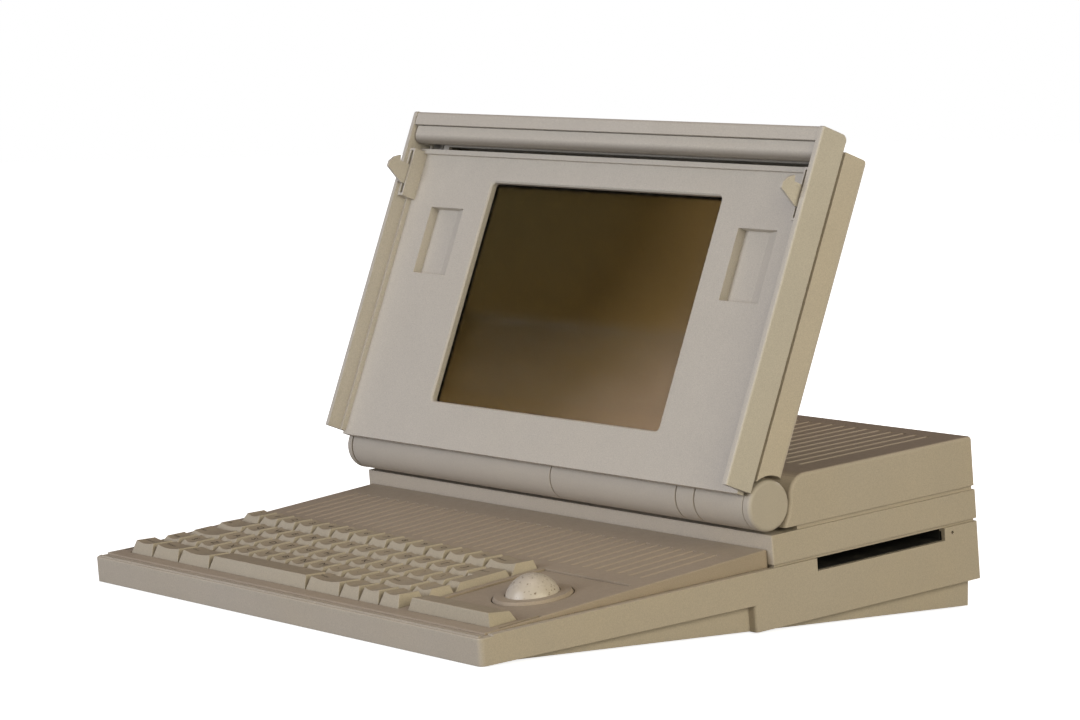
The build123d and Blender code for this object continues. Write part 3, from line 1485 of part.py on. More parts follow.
# ---------------------------------------------------------------- latch
latch_half = rim_inner - LATCH_END_GAP
with BuildPart() as latch_bar:
    # round below and square above, up to the handle
    with BuildSketch(LID_SIDE.offset(-latch_half)):
        with Locations((latch_bar_w, LATCH_BAR_T)):
            Circle(LATCH_BAR_R)
        with Locations((latch_bar_w + LATCH_BAR_R / 2, LATCH_BAR_T)):
            Rectangle(LATCH_BAR_R, 2 * LATCH_BAR_R)
    extrude(amount=2 * latch_half)
    ends = latch_bar.faces().sort_by(Axis.X)
    fillet(ends[0].edges() + ends[-1].edges(), LATCH_END_R)
    # the hook plates sit in slots behind the bar's axis
    for side in (-1, 1):
        low_x, high_x = sorted((side * hook_inner, side * hook_outer))
        add(
            box_on(
                LID,
                (low_x, latch_bar_w - LATCH_BAR_R, -LATCH_BAR_T - LATCH_BAR_R),
                (high_x, latch_bar_w + LATCH_BAR_R, -LATCH_BAR_T),
            ),
            mode=Mode.SUBTRACT,
        )
save(latch_bar.part, "latch_bar")

link_front = plate_back + CLEAR
link_bottom = bezel_top + LATCH_TRAVEL + CLEAR
link_top = latch_bar_w + LATCH_BAR_R
hook_profile = [
    (hook_bottom, HOOK_BACK),
    (hook_bottom, 0),
    (hook_bottom + HOOK_TIP, -HOOK_REACH),
    (hook_bottom + HOOK_NOSE, -HOOK_REACH),
    (hook_top + HOOK_NOSE_TOP, -HOOK_NOSE_REACH),
    (hook_top + HOOK_BARB, -HOOK_BARB_REACH),
    (hook_top, -HOOK_BARB_REACH + 1),
    (hook_top, link_front),
    (link_bottom, link_front),
    (link_bottom, LATCH_BAR_T),
    (link_top, LATCH_BAR_T),
    (link_top, HOOK_BACK),
]
with BuildPart() as latch_hooks:
    for side in (-1, 1):
        start = -hook_outer if side > 0 else hook_inner
        with BuildSketch(LID_SIDE.offset(start)):
            with BuildLine():
                Polyline(*hook_profile, close=True)
            make_face()
        extrude(amount=HOOK_THICK)
save(latch_hooks.part, "latch_hooks")

spring_top = hook_bottom - LATCH_TRAVEL - CLEAR
with BuildPart() as latch_springs:
    for side in (-1, 1):
        low_x, high_x = sorted((side * (arm_outer + 2 * CLEAR), side * hook_outer))
        spring_low = spring_top - SPRING_LENGTH
        add(box_on(LID, (low_x, spring_low, -plate_back - 1), (high_x, spring_top, -plate_back)))
        add(box_on(LID, (low_x, spring_top - 1, -HOOK_BACK), (high_x, spring_top, -plate_back - 1)))
save(latch_springs.part, "latch_springs")

# ---------------------------------------------------------------- carrying handle
handle_half = rim_inner - HANDLE_PLAY
with BuildPart() as carry_handle:
    add(
        box_on(
            LID,
            (-handle_half, handle_bottom, -FRONT_SHELL_DEPTH),
            (handle_half, lid_height, -CLEAR),
        )
    )
    fillet(
        carry_handle.edges().filter_by(Axis.X).sort_by(Axis(LID.origin, LID.y_dir))[-2:],
        EDGE_R * 2,
    )
save(carry_handle.part, "carry_handle")

# the flat arms it slides out on, fixed under the strip
arm_front = plate_back + CLEAR
arm_bottom = handle_bottom - HANDLE_TRAVEL - ARM_HELD
with BuildPart() as handle_arms:
    for side in (-1, 1):
        low_x, high_x = sorted((side * arm_inner, side * arm_outer))
        add(
            box_on(
                LID,
                (low_x, arm_bottom, -arm_front - ARM_THICK),
                (high_x, handle_bottom, -arm_front),
            )
        )
save(handle_arms.part, "handle_arms")

# ---------------------------------------------------------------- inside the base
with BuildPart() as disk_drive:
    add(
        box_on(
            CASE,
            (drive_left, drive_front, DRIVE_BOTTOM),
            (drive_right, drive_front + DRIVE_LENGTH, DRIVE_BOTTOM + DRIVE_HEIGHT),
        )
    )
    add(
        box_on(
            CASE,
            (drive_right - DISK_SLOT_DEPTH, disk_slot_front, SEAM_HEIGHT - DISK_SLOT_HEIGHT),
            (drive_right + 1, disk_slot_front + DISK_SLOT_LENGTH, SEAM_HEIGHT),
        ),
        mode=Mode.SUBTRACT,
    )
save(disk_drive.part, "disk_drive")

with BuildPart() as logic_board:
    add(box_on(CASE, (board_left, BOARD_FRONT, BOARD_BOTTOM), (board_right, board_back, board_top)))
    for across, back, width, length in LOGIC_CHIPS:
        x = (board_left + board_right) / 2 + across
        u = BOARD_FRONT + back
        low = (x - width / 2, u - length / 2, board_top)
        high = (x + width / 2, u + length / 2, board_top + WALL)
        add(box_on(CASE, low, high))
save(logic_board.part, "logic_board")

hard_disk = box_on(
    CASE,
    (board_right - DISK_WIDTH, band_front + WALL + DISK_FRONT_GAP, board_top),
    (board_right, CASE_DEPTH - DISK_BACK_GAP, board_top + DISK_HEIGHT),
)
save(hard_disk, "hard_disk")

battery = box_on(
    CASE,
    (board_left, cover_front + WALL + BATTERY_FRONT_GAP, band_top),
    (board_left + BATTERY_WIDTH, CASE_DEPTH - BATTERY_BACK_GAP, band_top + BATTERY_HEIGHT),
)
save(battery, "battery")

with BuildPart() as speaker:
    with BuildSketch(CASE.offset(board_top)):
        with Locations((board_left + 2 * SPEAKER_R, BOARD_FRONT + 2 * SPEAKER_R)):
            Circle(SPEAKER_R)
    extrude(amount=SPEAKER_HEIGHT)
    chamfer(speaker.edges().group_by(Axis(CASE.origin, CASE.z_dir))[-1], SPEAKER_HEIGHT / 3)
save(speaker.part, "speaker")

with BuildPart() as port_sockets:
    for centre, width in zip(port_centres(), PORT_WIDTHS):
        add(
            box_on(
                CASE,
                (centre - width / 2, CASE_DEPTH - PORT_DEPTH, board_top),
                (centre + width / 2, CASE_DEPTH - EDGE_R, board_top + PORT_HEIGHT),
            )
        )
        add(
            box_on(
                CASE,
                (centre - width / 2 + PORT_RIM, CASE_DEPTH - EDGE_R - PORT_RECESS, board_top + PORT_RIM),
                (centre + width / 2 - PORT_RIM, CASE_DEPTH, board_top + PORT_HEIGHT - PORT_RIM),
            ),
            mode=Mode.SUBTRACT,
        )
save(port_sockets.part, "port_sockets")
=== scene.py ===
import json
import math

import bpy
from mathutils import Matrix, Vector
from mathutils.bvhtree import BVHTree


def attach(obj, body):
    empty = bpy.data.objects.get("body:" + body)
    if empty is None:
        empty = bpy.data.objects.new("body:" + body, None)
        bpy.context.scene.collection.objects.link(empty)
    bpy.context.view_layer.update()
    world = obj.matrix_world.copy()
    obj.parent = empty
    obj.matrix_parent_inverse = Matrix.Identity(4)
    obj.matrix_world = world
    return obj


scene = bpy.context.scene
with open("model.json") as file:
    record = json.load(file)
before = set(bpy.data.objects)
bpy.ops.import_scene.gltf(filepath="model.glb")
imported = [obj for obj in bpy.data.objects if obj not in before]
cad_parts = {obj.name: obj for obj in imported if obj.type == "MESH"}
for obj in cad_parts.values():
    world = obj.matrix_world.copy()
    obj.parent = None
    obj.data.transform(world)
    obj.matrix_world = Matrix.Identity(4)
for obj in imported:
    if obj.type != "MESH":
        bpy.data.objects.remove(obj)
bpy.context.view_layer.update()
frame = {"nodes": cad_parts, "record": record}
nodes = frame["nodes"]

# ---------------------------------------------------------------- places shared with the CAD, metres
CASE_DEPTH = 0.3502
CASE_TILT = math.radians(5.6)
DECK_SLOPE = math.radians(2.9)
LID_LEAN = math.radians(19.4)
SKIRT_REAR_DROP = 0.0182
FOOT_PROUD = 0.0012
DECK_RISE = 0.0149
HINGE_U, HINGE_V = 0.1988, 0.0495
AXIS_BELOW, AXIS_BEHIND = 0.0029, 0.0334
front_y = -(CASE_DEPTH * math.cos(CASE_TILT) + SKIRT_REAR_DROP * math.sin(CASE_TILT)) / 2

case_back = Vector((0, math.cos(CASE_TILT), math.sin(CASE_TILT)))
case_up = Vector((0, -math.sin(CASE_TILT), math.cos(CASE_TILT)))
deck_back = Vector((0, math.cos(CASE_TILT + DECK_SLOPE), math.sin(CASE_TILT + DECK_SLOPE)))
deck_up = Vector((0, -math.sin(CASE_TILT + DECK_SLOPE), math.cos(CASE_TILT + DECK_SLOPE)))
lid_up = Vector((0, math.sin(LID_LEAN), math.cos(LID_LEAN)))
lid_in = Vector((0, math.cos(LID_LEAN), -math.sin(LID_LEAN)))
case_zero = Vector((0, front_y, FOOT_PROUD))
deck_zero = case_zero + case_up * DECK_RISE
hinge = case_zero + case_back * HINGE_U + case_up * HINGE_V
lid_zero = hinge + lid_up * AXIS_BELOW - lid_in * AXIS_BEHIND


def on_deck(x, s, h):
    return deck_zero + Vector((x, 0, 0)) + deck_back * s + deck_up * h


# ---------------------------------------------------------------- materials
NOISE_LOW, NOISE_HIGH = 0.3, 0.7  # nearly all of a noise lies between these
# how fine each pattern is, in cells per metre
PATCH_CELLS, CLOUD_CELLS, SPECK_CELLS, SHADE_AND_GRIME_CELLS = 5.5, 38.0, 1500.0, 90.0
SHEEN_CELLS, GRAIN_CELLS = 260.0, 2300.0
SMUDGE_CELLS, BRUSH_CELLS, SCRATCH_CELLS = 60.0, 400.0, 900.0
DUST_CELLS, DULL_CELLS, PIT_CELLS = 70.0, 300.0, 1800.0
SPOT_CELLS, SPOTTED_CELLS, STAIN_CELLS, POLISH_CELLS, DENT_CELLS = 420.0, 240.0, 70.0, 150.0, 500.0
WANDER_CELLS, GLASS_CELLS = 9.0, 1400.0
# how deep each relief is, in metres
GRAIN_DEPTH, METAL_DEPTH, MOULD_DEPTH, BALL_DEPTH = 0.00006, 0.00003, 0.00005, 0.00003
GLASS_DEPTH = 0.000004


class Graph:
    """A new material, with small helpers that add and join its shader nodes."""

    def __init__(self, name):
        self.material = bpy.data.materials.new(name)
        self.material.use_nodes = True
        self.tree = self.material.node_tree
        self.shader = self.tree.nodes["Principled BSDF"]
        self.place = self.add("ShaderNodeTexCoord").outputs["Object"]

    def add(self, kind, **values):
        node = self.tree.nodes.new(kind)
        for key, value in values.items():
            setattr(node, key, value)
        return node

    def join(self, output, target):
        self.tree.links.new(output, target)

    def feed(self, value, target):
        """Put a number or a colour on a socket, or join an output to it."""
        if isinstance(value, (int, float)):
            target.default_value = value
        elif isinstance(value, tuple):
            target.default_value = value + (1.0,)
        else:
            self.join(value, target)

    def set(self, name, value):
        self.feed(value, self.shader.inputs[name])

    def noise(self, scale, detail=2.0, roughness=0.5, stretch=None):
        node = self.add("ShaderNodeTexNoise")
        node.inputs["Scale"].default_value = scale
        node.inputs["Detail"].default_value = detail
        node.inputs["Roughness"].default_value = roughness
        place = self.place
        if stretch:
            scaled = self.add("ShaderNodeMapping")
            scaled.inputs["Scale"].default_value = stretch
            self.join(self.place, scaled.inputs["Vector"])
            place = scaled.outputs["Vector"]
        self.join(place, node.inputs["Vector"])
        return node.outputs["Fac"]

    def remap(self, value, low, high, to_low=0.0, to_high=1.0):
        node = self.add("ShaderNodeMapRange")
        self.join(value, node.inputs["Value"])
        node.inputs["From Min"].default_value = low
        node.inputs["From Max"].default_value = high
        node.inputs["To Min"].default_value = to_low
        node.inputs["To Max"].default_value = to_high
        return node.outputs["Result"]

    def mottle(self, scale, detail=2.0, roughness=0.5, low=0.0, high=1.0, stretch=None):
        """Noise that wanders between two values."""
        return self.remap(self.noise(scale, detail, roughness, stretch), NOISE_LOW, NOISE_HIGH, low, high)

    def mix(self, factor, first, second, blend="MIX"):
        """Blend two colours."""
        node = self.add("ShaderNodeMix", data_type="RGBA", blend_type=blend)
        # a mix node's first input is its factor, and its colours are the sixth and seventh
        for value, index in ((factor, 0), (first, 6), (second, 7)):
            self.feed(value, node.inputs[index])
        return node.outputs[2]

    def combine(self, operation, first, second):
        node = self.add("ShaderNodeMath", operation=operation)
        self.feed(first, node.inputs[0])
        self.feed(second, node.inputs[1])
        return node.outputs[0]

    def multiply(self, first, second):
        return self.combine("MULTIPLY", first, second)

    def dot(self, first, second):
        """Dot product of an output with another output, or with a fixed direction."""
        node = self.add("ShaderNodeVectorMath", operation="DOT_PRODUCT")
        self.join(first, node.inputs[0])
        if isinstance(second, Vector):
            node.inputs[1].default_value = second
        else:
            self.join(second, node.inputs[1])
        return node.outputs["Value"]

    def faces(self):
        """Direction of the flat face, before any bump or rounding."""
        return self.add("ShaderNodeNewGeometry").outputs["True Normal"]

    def bump(self, height, distance, strength=1.0, below=None):
        node = self.add("ShaderNodeBump")
        node.inputs["Strength"].default_value = strength
        node.inputs["Distance"].default_value = distance
        self.join(height, node.inputs["Height"])
        if below is not None:
            self.join(below, node.inputs["Normal"])
        return node.outputs["Normal"]


def scaled(colour, factor):
    return tuple(channel * factor for channel in colour)


def shifted(colour, shift):
    return tuple(max(0.0, channel + change) for channel, change in zip(colour, shift))


def aged_plastic(
    name, base, yellow=0.35, grain=0.10, roughness=0.50, shade_and_grime=0.2, soften=0.0005, facing_shades=()
):
    """Moulded plastic with a spark-eroded grain, uneven yellowing, painted shade with grime in the
    corners and painted highlights on the edges.

    The last argument lists (direction, start, full, tone): faces turned that way are multiplied by that
    tone, a painted shade.
    """
    g = Graph(name)
    patches = g.remap(g.noise(PATCH_CELLS, 3.0, 0.55), 0.35, 0.68)
    yellowed = tuple(channel * share for channel, share in zip(base, YELLOWING))
    colour = g.mix(g.multiply(patches, yellow), base, yellowed)
    colour = g.mix(g.multiply(g.mottle(CLOUD_CELLS, 4.0, 0.6), 0.5), colour, scaled(base, CLOUD_SHADE))
    speckled = g.add("ShaderNodeVectorMath", operation="SCALE")
    g.join(colour, speckled.inputs[0])
    specks = g.remap(g.noise(SPECK_CELLS, 2.0, 0.6), 0.28, 0.72, 1.0 - grain, 1.0 + grain)
    g.join(specks, speckled.inputs["Scale"])
    colour = speckled.outputs["Vector"]
    # painted highlight on the edges: paler where the rounded normal leaves the face's own
    edge = g.add("ShaderNodeBevel", samples=4)
    edge.inputs["Radius"].default_value = soften
    flatness = g.dot(edge.outputs["Normal"], g.faces())
    colour = g.mix(g.remap(flatness, EDGE_STARTS, EDGE_FULL), colour, scaled(base, EDGE_HIGHLIGHT))
    # painted shade in the corners, from ambient occlusion, mixed with a brownish grime
    corner = g.add("ShaderNodeAmbientOcclusion", samples=4)
    corner.inputs["Distance"].default_value = SHADE_AND_GRIME_REACH
    shade = g.remap(corner.outputs["AO"], 0.25, 0.85, shade_and_grime, 0.0)
    shade_and_grime_tone = shifted(scaled(base, SHADE_AND_GRIME_DARKEN), SHADE_AND_GRIME_SHIFT)
    colour = g.mix(g.multiply(shade, g.mottle(SHADE_AND_GRIME_CELLS, 3.0, 0.6, 0.5, 1.0)), colour, shade_and_grime_tone)
    # painted shade on faces turned the listed way
    for direction, start, full, tone in facing_shades:
        colour = g.mix(g.remap(g.dot(g.faces(), direction), start, full), colour, tone, "MULTIPLY")
    g.set("Base Color", colour)
    g.set("Roughness", g.mottle(SHEEN_CELLS, 3.0, 0.6, roughness - 0.07, roughness + 0.08))
    g.set("Specular IOR Level", 0.35)
    g.set("Normal", g.bump(g.noise(GRAIN_CELLS, 2.0, 0.55), GRAIN_DEPTH, 0.55, edge.outputs["Normal"]))
    return g.material


def plain_metal(name, base, roughness, brush=(1.0, 60.0, 1.0)):
    """Sheet or turned metal with fine brushing and faint smudges."""
    g = Graph(name)
    g.set("Base Color", g.mix(g.mottle(SMUDGE_CELLS, 4.0, 0.6), base, scaled(base, 0.8)))
    g.set("Metallic", 1.0)
    g.set("Roughness", g.mottle(BRUSH_CELLS, 3.0, 0.6, roughness - 0.06, roughness + 0.1, brush))
    g.set("Normal", g.bump(g.noise(SCRATCH_CELLS, 2.0, 0.5, brush), METAL_DEPTH, 0.5))
    return g.material


def dark_moulding(name, base, roughness=0.5):
    """Black moulded plastic or rubber with a light bloom of dust."""
    g = Graph(name)
    dust = g.remap(g.noise(DUST_CELLS, 4.0, 0.65), 0.45, 0.75, 0.0, 0.35)
    g.set("Base Color", g.mix(dust, base, DUST))
    g.set("Roughness", g.mottle(DULL_CELLS, low=roughness - 0.08, high=roughness + 0.12))
    g.set("Normal", g.bump(g.noise(PIT_CELLS), MOULD_DEPTH, 0.5))
    return g.material


def ball_plastic(name):
    """Glossy off-white ball with faint brown speckles."""
    g = Graph(name)
    cells = g.add("ShaderNodeTexVoronoi", feature="F1")
    cells.inputs["Scale"].default_value = SPOT_CELLS
    g.join(g.place, cells.inputs["Vector"])
    spot = g.remap(cells.outputs["Distance"], 0.14, 0.30, 1.0, 0.0)
    some = g.remap(g.noise(SPOTTED_CELLS), 0.44, 0.52)
    stain = g.remap(g.noise(STAIN_CELLS, 4.0, 0.6), 0.35, 0.7, 0.0, 0.45)
    colour = g.mix(stain, BALL_BASE, BALL_STAIN)
    g.set("Base Color", g.mix(g.multiply(spot, some), colour, BALL_SPECK))
    g.set("Roughness", g.mottle(POLISH_CELLS, 3.0, low=0.22, high=0.38))
    g.set("Normal", g.bump(g.noise(DENT_CELLS, 3.0), BALL_DEPTH, 0.4))
    return g.material


def unlit_screen(name):
    """Unlit panel with a black border: dark brown at the upper left, paler towards the lower right."""
    g = Graph(name)

    def along(direction, origin, low, high):
        """How far a place lies along a direction from an origin, as 0 at low to 1 at high."""
        offset = g.add("ShaderNodeVectorMath", operation="SUBTRACT")
        g.join(g.place, offset.inputs[0])
        offset.inputs[1].default_value = origin
        return g.remap(g.dot(offset.outputs["Vector"], direction), low, high)

    top = lid_zero + lid_up * SCREEN_TOP
    across = along(Vector((1, 0, 0)), (0, 0, 0), -SCREEN_HALF, SCREEN_HALF)
    down = along(-lid_up, top, 0.0, SCREEN_TALL)
    across_share = g.multiply(g.multiply(across, across), SCREEN_PALER_ACROSS)
    down_share = g.multiply(g.multiply(down, down), SCREEN_PALER_DOWN)
    drift = g.combine("ADD", across_share, down_share)
    drift = g.combine("ADD", drift, g.mottle(WANDER_CELLS, 3.0, 0.5, -0.05, 0.05))
    ramp = g.add("ShaderNodeValToRGB")
    stops = ramp.color_ramp.elements
    for stop, (position, tone) in zip(stops, (SCREEN_TONES[0], SCREEN_TONES[-1])):
        stop.position = position
        stop.color = tone + (1,)
    for position, tone in SCREEN_TONES[1:-1]:
        stops.new(position).color = tone + (1,)
    g.join(drift, ramp.inputs["Fac"])
    colour = ramp.outputs["Color"]
    for border in (
        along(Vector((-1, 0, 0)), (-SCREEN_HALF + SCREEN_BORDER, 0, 0), 0.0, SCREEN_BORDER_SOFT),
        along(lid_up, top - lid_up * SCREEN_BORDER, 0.0, SCREEN_BORDER_SOFT),
    ):
        colour = g.mix(border, colour, SCREEN_BORDER_TONE)
    g.set("Base Color", colour)
    g.set("Roughness", g.mottle(DULL_CELLS, low=0.45, high=0.55))
    g.set("Specular IOR Level", 0.02)
    return g.material


def clear_glass(name):
    """Thin tinted window over the panel."""
    g = Graph(name)
    g.set("Base Color", (0.98, 0.95, 0.90))
    g.set("Roughness", 0.3)
    g.set("IOR", 1.12)
    g.set("Specular Tint", (1.0, 0.74, 0.46))
    g.set("Transmission Weight", 1.0)
    g.set("Normal", g.bump(g.noise(GLASS_CELLS), GLASS_DEPTH, 0.3))
    return g.material


YELLOWING = (1.02, 0.95, 0.78)
CLOUD_SHADE = 0.93
# painted highlight on the edges: how much paler, and where it starts and is full
EDGE_HIGHLIGHT, EDGE_STARTS, EDGE_FULL = 1.22, 0.97, 0.86
# painted shade with grime in the corners: reach of the occlusion, darkening and shift of the tone
SHADE_AND_GRIME_REACH, SHADE_AND_GRIME_DARKEN, SHADE_AND_GRIME_SHIFT = 0.004, 0.34, (0.0, -0.012, -0.03)
CASE_BASE = (0.512, 0.457, 0.379)
SHELL_BASE = (0.590, 0.530, 0.441)
BEZEL_BASE = (0.587, 0.548, 0.482)
BARREL_BASE = (0.512, 0.467, 0.400)
DECK_BASE = (0.407, 0.340, 0.266)
KEY_BASE = (0.479, 0.426, 0.332)
SCREEN_HALF, SCREEN_TOP, SCREEN_TALL = 0.109, 0.1637, 0.1377
SCREEN_BORDER, SCREEN_BORDER_SOFT = 0.0020, 0.0008
SCREEN_BORDER_TONE = (0.006, 0.005, 0.004)
SCREEN_PALER_ACROSS, SCREEN_PALER_DOWN = 0.55, 0.50
# place on the drift from dark to pale, and the colour there
SCREEN_TONES = (
    (0.0, (0.042, 0.030, 0.010)),
    (0.25, (0.047, 0.029, 0.007)),
    (0.52, (0.102, 0.065, 0.022)),
    (1.0, (0.290, 0.205, 0.130)),
)
# tones of painted shade on faces turned one way: key tops, the bar's underside, the cover's top
KEY_TOP_SHADE = (0.80, 0.76, 0.72)
BAR_UNDERSIDE_SHADE = (0.46, 0.44, 0.42)
COVER_SHADE = (0.665, 0.632, 0.648)
BALL_BASE, BALL_STAIN, BALL_SPECK = (0.60, 0.545, 0.46), (0.47, 0.40, 0.31), (0.22, 0.16, 0.10)
DUST = (0.16, 0.145, 0.12)
BLACK_BASE = (0.018, 0.018, 0.018)
RUBBER_BASE = (0.03, 0.03, 0.03)
SHEET_BASE = (0.55, 0.55, 0.53)
STEEL_BASE = (0.56, 0.55, 0.53)
BOARD_BASE = (0.02, 0.09, 0.04)
LEGEND_INK = (0.055, 0.045, 0.035)

case_plastic = aged_plastic("case_plastic", CASE_BASE)
shell_plastic = aged_plastic("shell_plastic", SHELL_BASE)
# latch bar: painted shade on its underside, darker as its faces turn down
bar_plastic = aged_plastic(
    "bar_plastic",
    BEZEL_BASE,
    yellow=0.18,
    facing_shades=((lid_up, -0.1, -0.8, BAR_UNDERSIDE_SHADE),),
)
# rear cover: painted shade on its up-facing top
cover_plastic = aged_plastic(
    "cover_plastic",
    CASE_BASE,
    facing_shades=((case_up, 0.80, 0.97, COVER_SHADE),),
)
bezel_plastic = aged_plastic("bezel_plastic", BEZEL_BASE, yellow=0.18)
# deck and keys: stronger painted shade in their corners and seams, mixed with grime
deck_plastic = aged_plastic("deck_plastic", DECK_BASE, yellow=0.25, shade_and_grime=0.6)
# keys: painted shade on their up-facing tops as well
key_plastic = aged_plastic(
    "key_plastic",
    KEY_BASE,
    yellow=0.25,
    roughness=0.46,
    shade_and_grime=0.6,
    soften=0.0007,
    facing_shades=((deck_up, 0.86, 0.95, KEY_TOP_SHADE),),
)
barrel_plastic = aged_plastic("barrel_plastic", BARREL_BASE, yellow=0.2, grain=0.05)

by_slot = {
    "case": case_plastic,
    "deck": deck_plastic,
    "bezel": bezel_plastic,
    "barrel": barrel_plastic,
    "keys": key_plastic,
    "ball_ring": deck_plastic,
    "ball": ball_plastic("ball_plastic"),
    "screen": clear_glass("screen_window"),
    "lcd": unlit_screen("unlit_screen"),
    "dark_plastic": dark_moulding("black_moulding", BLACK_BASE),
    "rubber": dark_moulding("foot_rubber", RUBBER_BASE, 0.75),
    "metal_plate": plain_metal("pressed_sheet", SHEET_BASE, 0.42),
    "steel": plain_metal("turned_steel", STEEL_BASE, 0.3, brush=(60.0, 1.0, 1.0)),
    "board": dark_moulding("board_green", BOARD_BASE, 0.4),
}
by_node = {
    "display_rear_shell": shell_plastic,
    "latch_bar": bar_plastic,
    "rear_cover": cover_plastic,
}
for entry in frame["record"]["subparts"]:
    obj = nodes[entry["node"]]
    material = by_node.get(entry["node"], by_slot[entry["material_slot"]])
    obj.data.materials.clear()
    obj.data.materials.append(material)

# ---------------------------------------------------------------- printed key legends
KEY_PITCH = 0.01905
KEYS_LEFT = -0.177412
KEYS_FRONT = 0.0151
LETTER_HEIGHT, WORD_HEIGHT = 0.0042, 0.0022
LEGEND_LEFT, WORD_LEFT, LEGEND_BACK = 0.0046, 0.0034, 0.0010
CAPITAL_SHARE = 0.7  # a capital's height as a share of the font's size
PRINT_THICK = 0.00004
ABOVE_KEYS, KEY_TOP = 0.03, 0.004
# row from the front, first key's offset from the left in key pitches, and the legends
LEGEND_ROWS = {
    "number_keys": (4, 0.0, "`1234567890-="),
    "upper_letter_keys": (3, 1.5, "QWERTYUIOP[]"),
    "home_letter_keys": (2, 1.75, "ASDFGHJKL;'\\"),
    "lower_letter_keys": (1, 1.0, "\u00a7ZXCVBNM,./"),
}
LEGEND_WORDS = {
    "delete_key": (4, 13.0, "delete"),
    "tab_key": (3, 0.0, "tab"),
    "caps_key": (2, 0.0, "caps"),
    "left_shift_key": (1, 0.0, "shift"),
    "right_shift_key": (1, 12.0, "shift"),
    "control_key": (0, 0.0, "control"),
    "option_key": (0, 1.25, "option"),
    "command_key": (0, 2.75, "cmd"),
    "enter_key": (0, 9.75, "enter"),
    "return_key": (3, 13.5, "return"),
}
legend_ink = dark_moulding("legend_ink", LEGEND_INK, 0.6)


def text_outline(text, height):
    """Flat outline of a printed legend: its points and faces, left end at zero, base line at zero."""
    curve = bpy.data.curves.new("legend_outline", "FONT")
    curve.body = text
    curve.size = height / CAPITAL_SHARE
    curve.resolution_u = 2
    holder = bpy.data.objects.new("legend_outline", curve)
    mesh = bpy.data.meshes.new_from_object(holder)
    points = [(vertex.co.x, vertex.co.y) for vertex in mesh.vertices]
    faces = [tuple(face.vertices) for face in mesh.polygons]
    bpy.data.objects.remove(holder)
    bpy.data.curves.remove(curve)
    bpy.data.meshes.remove(mesh)
    return points, faces


def printed(node, marks):
    """Lay printed marks on the tops of a key piece, following their dish."""
    source = nodes[node].data
    source.calc_loop_triangles()
    surface = BVHTree.FromPolygons(
        [vertex.co[:] for vertex in source.vertices],
        [tuple(triangle.vertices) for triangle in source.loop_triangles],
    )
    points, faces = [], []
    for text, height, x, s in marks:
        outline, outline_faces = text_outline(text, height)
        start = len(points)
        for across, along in outline:
            above = on_deck(x + across, s + along, ABOVE_KEYS)
            hit = surface.ray_cast(above, -deck_up)[0]
            if hit is None:
                hit = on_deck(x + across, s + along, KEY_TOP)
            points.append(hit + deck_up * PRINT_THICK)
        faces += [tuple(index + start for index in face) for face in outline_faces]
    mesh = bpy.data.meshes.new(node + "_legend")
    mesh.from_pydata(points, [], faces)
    piece = bpy.data.objects.new(node + "_legend", mesh)
    scene.collection.objects.link(piece)
    mesh.materials.append(legend_ink)
    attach(piece, "body_" + node)


for node, (row, offset, letters) in LEGEND_ROWS.items():
    base_line = KEYS_FRONT + (row + 0.5) * KEY_PITCH + LEGEND_BACK
    marks = []
    for index, letter in enumerate(letters):
        left = KEYS_LEFT + (offset + index) * KEY_PITCH + LEGEND_LEFT
        marks.append((letter, LETTER_HEIGHT, left, base_line))
    printed(node, marks)
for node, (row, offset, word) in LEGEND_WORDS.items():
    left = KEYS_LEFT + offset * KEY_PITCH + WORD_LEFT
    base_line = KEYS_FRONT + (row + 0.5) * KEY_PITCH
    printed(node, [(word, WORD_HEIGHT, left, base_line)])

# ---------------------------------------------------------------- stage, light and camera
scene.view_settings.view_transform = "Standard"

AMBIENT, AMBIENT_COLOUR = 0.084, (1.0, 0.80, 0.74)
# name, angle round from the front towards the right, angle up, power in watts, colour
LIGHTS = (
    ("front", -10, 15, 33.2, (0.875, 0.907, 1.0)),
    ("right", 65, 14, 13.5, (1.0, 0.934, 0.739)),
    ("far_right", 90, 17, 21.0, (1.0, 0.934, 0.739)),
    ("above", 0, 85, 6.8, (1.0, 0.82, 0.76)),
    ("back", 185, 12, 19.0, (1.0, 0.95, 0.92)),
)
LIGHT_DISTANCE, LIGHT_SIZE = 2.4, 1.3
LIGHT_TARGET = Vector((0, 0, 0.1))
FLOOR_SIDE = 6.0
FLOOR_SEEN, FLOOR_UNSEEN = (0.92, 0.92, 0.92), (0.30, 0.29, 0.27)
FLOOR_NEAR, FLOOR_FAR, GLOW_NEAR, GLOW_FAR = 0.26, 0.8, 0.85, 1.3


def heading(around, rise):
    """Direction at an angle round from the front towards the right, and an angle up, in radians."""
    flat = math.cos(rise)
    return Vector((math.sin(around) * flat, -math.cos(around) * flat, math.sin(rise)))


def studio_world():
    """Surroundings that are white to the camera and through the window, but a dim warm light."""
    world = bpy.data.worlds.new("studio")
    world.use_nodes = True
    tree = world.node_tree
    tree.nodes.clear()
    seen = tree.nodes.new("ShaderNodeBackground")
    seen.inputs["Color"].default_value = (1, 1, 1, 1)
    seen.inputs["Strength"].default_value = 1.0
    ambient = tree.nodes.new("ShaderNodeBackground")
    ambient.inputs["Color"].default_value = AMBIENT_COLOUR + (1,)
    ambient.inputs["Strength"].default_value = AMBIENT
    rays = tree.nodes.new("ShaderNodeLightPath")
    either = tree.nodes.new("ShaderNodeMath")
    either.operation = "MAXIMUM"
    choose = tree.nodes.new("ShaderNodeMixShader")
    out = tree.nodes.new("ShaderNodeOutputWorld")
    for output, target in (
        (rays.outputs["Is Camera Ray"], either.inputs[0]),
        (rays.outputs["Is Transmission Ray"], either.inputs[1]),
        (either.outputs[0], choose.inputs["Fac"]),
        (ambient.outputs[0], choose.inputs[1]),
        (seen.outputs[0], choose.inputs[2]),
        (choose.outputs[0], out.inputs["Surface"]),
    ):
        tree.links.new(output, target)
    return world


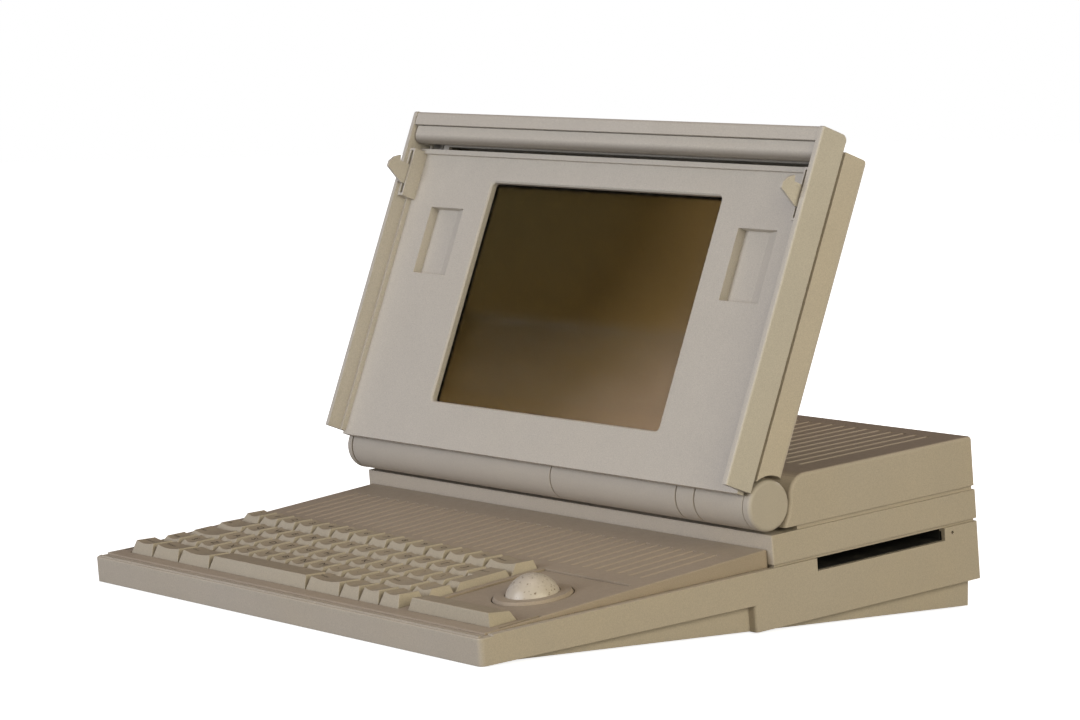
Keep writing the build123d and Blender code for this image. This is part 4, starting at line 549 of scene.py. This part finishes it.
def softbox(name, around, rise, power, colour):
    """Square soft light aimed at the middle of the computer."""
    away = heading(math.radians(around), math.radians(rise))
    light = bpy.data.lights.new(name, "AREA")
    light.shape = "SQUARE"
    light.size = LIGHT_SIZE
    light.energy = power
    light.color = colour
    lamp = bpy.data.objects.new(name, light)
    scene.collection.objects.link(lamp)
    lamp.location = LIGHT_TARGET + away * LIGHT_DISTANCE
    lamp.rotation_euler = away.to_track_quat("Z", "Y").to_euler()


def pale_floor(name):
    """Floor that looks white, whiter away from the computer, but throws little light back up."""
    g = Graph(name)
    seen = g.add("ShaderNodeLightPath").outputs["Is Camera Ray"]
    reach = g.add("ShaderNodeVectorMath", operation="LENGTH")
    g.join(g.place, reach.inputs[0])
    glow = g.remap(reach.outputs["Value"], FLOOR_NEAR, FLOOR_FAR, GLOW_NEAR, GLOW_FAR)
    g.set("Base Color", g.mix(seen, FLOOR_UNSEEN, FLOOR_SEEN))
    g.set("Roughness", 0.9)
    g.set("Emission Color", (1.0, 1.0, 1.0))
    g.set("Emission Strength", g.multiply(glow, seen))
    return g.material


scene.world = studio_world()
for light in LIGHTS:
    softbox(*light)

floor_mesh = bpy.data.meshes.new("floor")
corners = [(x * FLOOR_SIDE, y * FLOOR_SIDE, 0) for x, y in ((-1, -1), (1, -1), (1, 1), (-1, 1))]
floor_mesh.from_pydata(corners, [], [(0, 1, 2, 3)])
floor_mesh.materials.append(pale_floor("pale_floor"))
floor = bpy.data.objects.new("floor", floor_mesh)
scene.collection.objects.link(floor)

# camera with the photograph's position, direction and lens
AZIMUTH, ELEVATION, ROLL = math.radians(53.067), math.radians(5.005), math.radians(-0.097)
LENS, SENSOR_WIDTH = 131.223, 36.0  # millimetres
CAMERA_PLACE = Vector((1.8124, -1.1797, 0.3335))  # from the middle of the case's front edge
CLIP_END = 20.0
forward = -heading(AZIMUTH, ELEVATION)
right = forward.cross(Vector((0, 0, 1))).normalized()
down = forward.cross(right)
across = right * math.cos(ROLL) + down * math.sin(ROLL)
below = -right * math.sin(ROLL) + down * math.cos(ROLL)
camera_data = bpy.data.cameras.new("camera")
camera_data.lens = LENS
camera_data.sensor_width = SENSOR_WIDTH
camera_data.clip_end = CLIP_END
camera = bpy.data.objects.new("camera", camera_data)
scene.collection.objects.link(camera)
turn = Matrix((across, -below, -forward)).transposed().to_4x4()
camera.matrix_world = Matrix.Translation(case_zero + CAMERA_PLACE) @ turn
scene.camera = camera
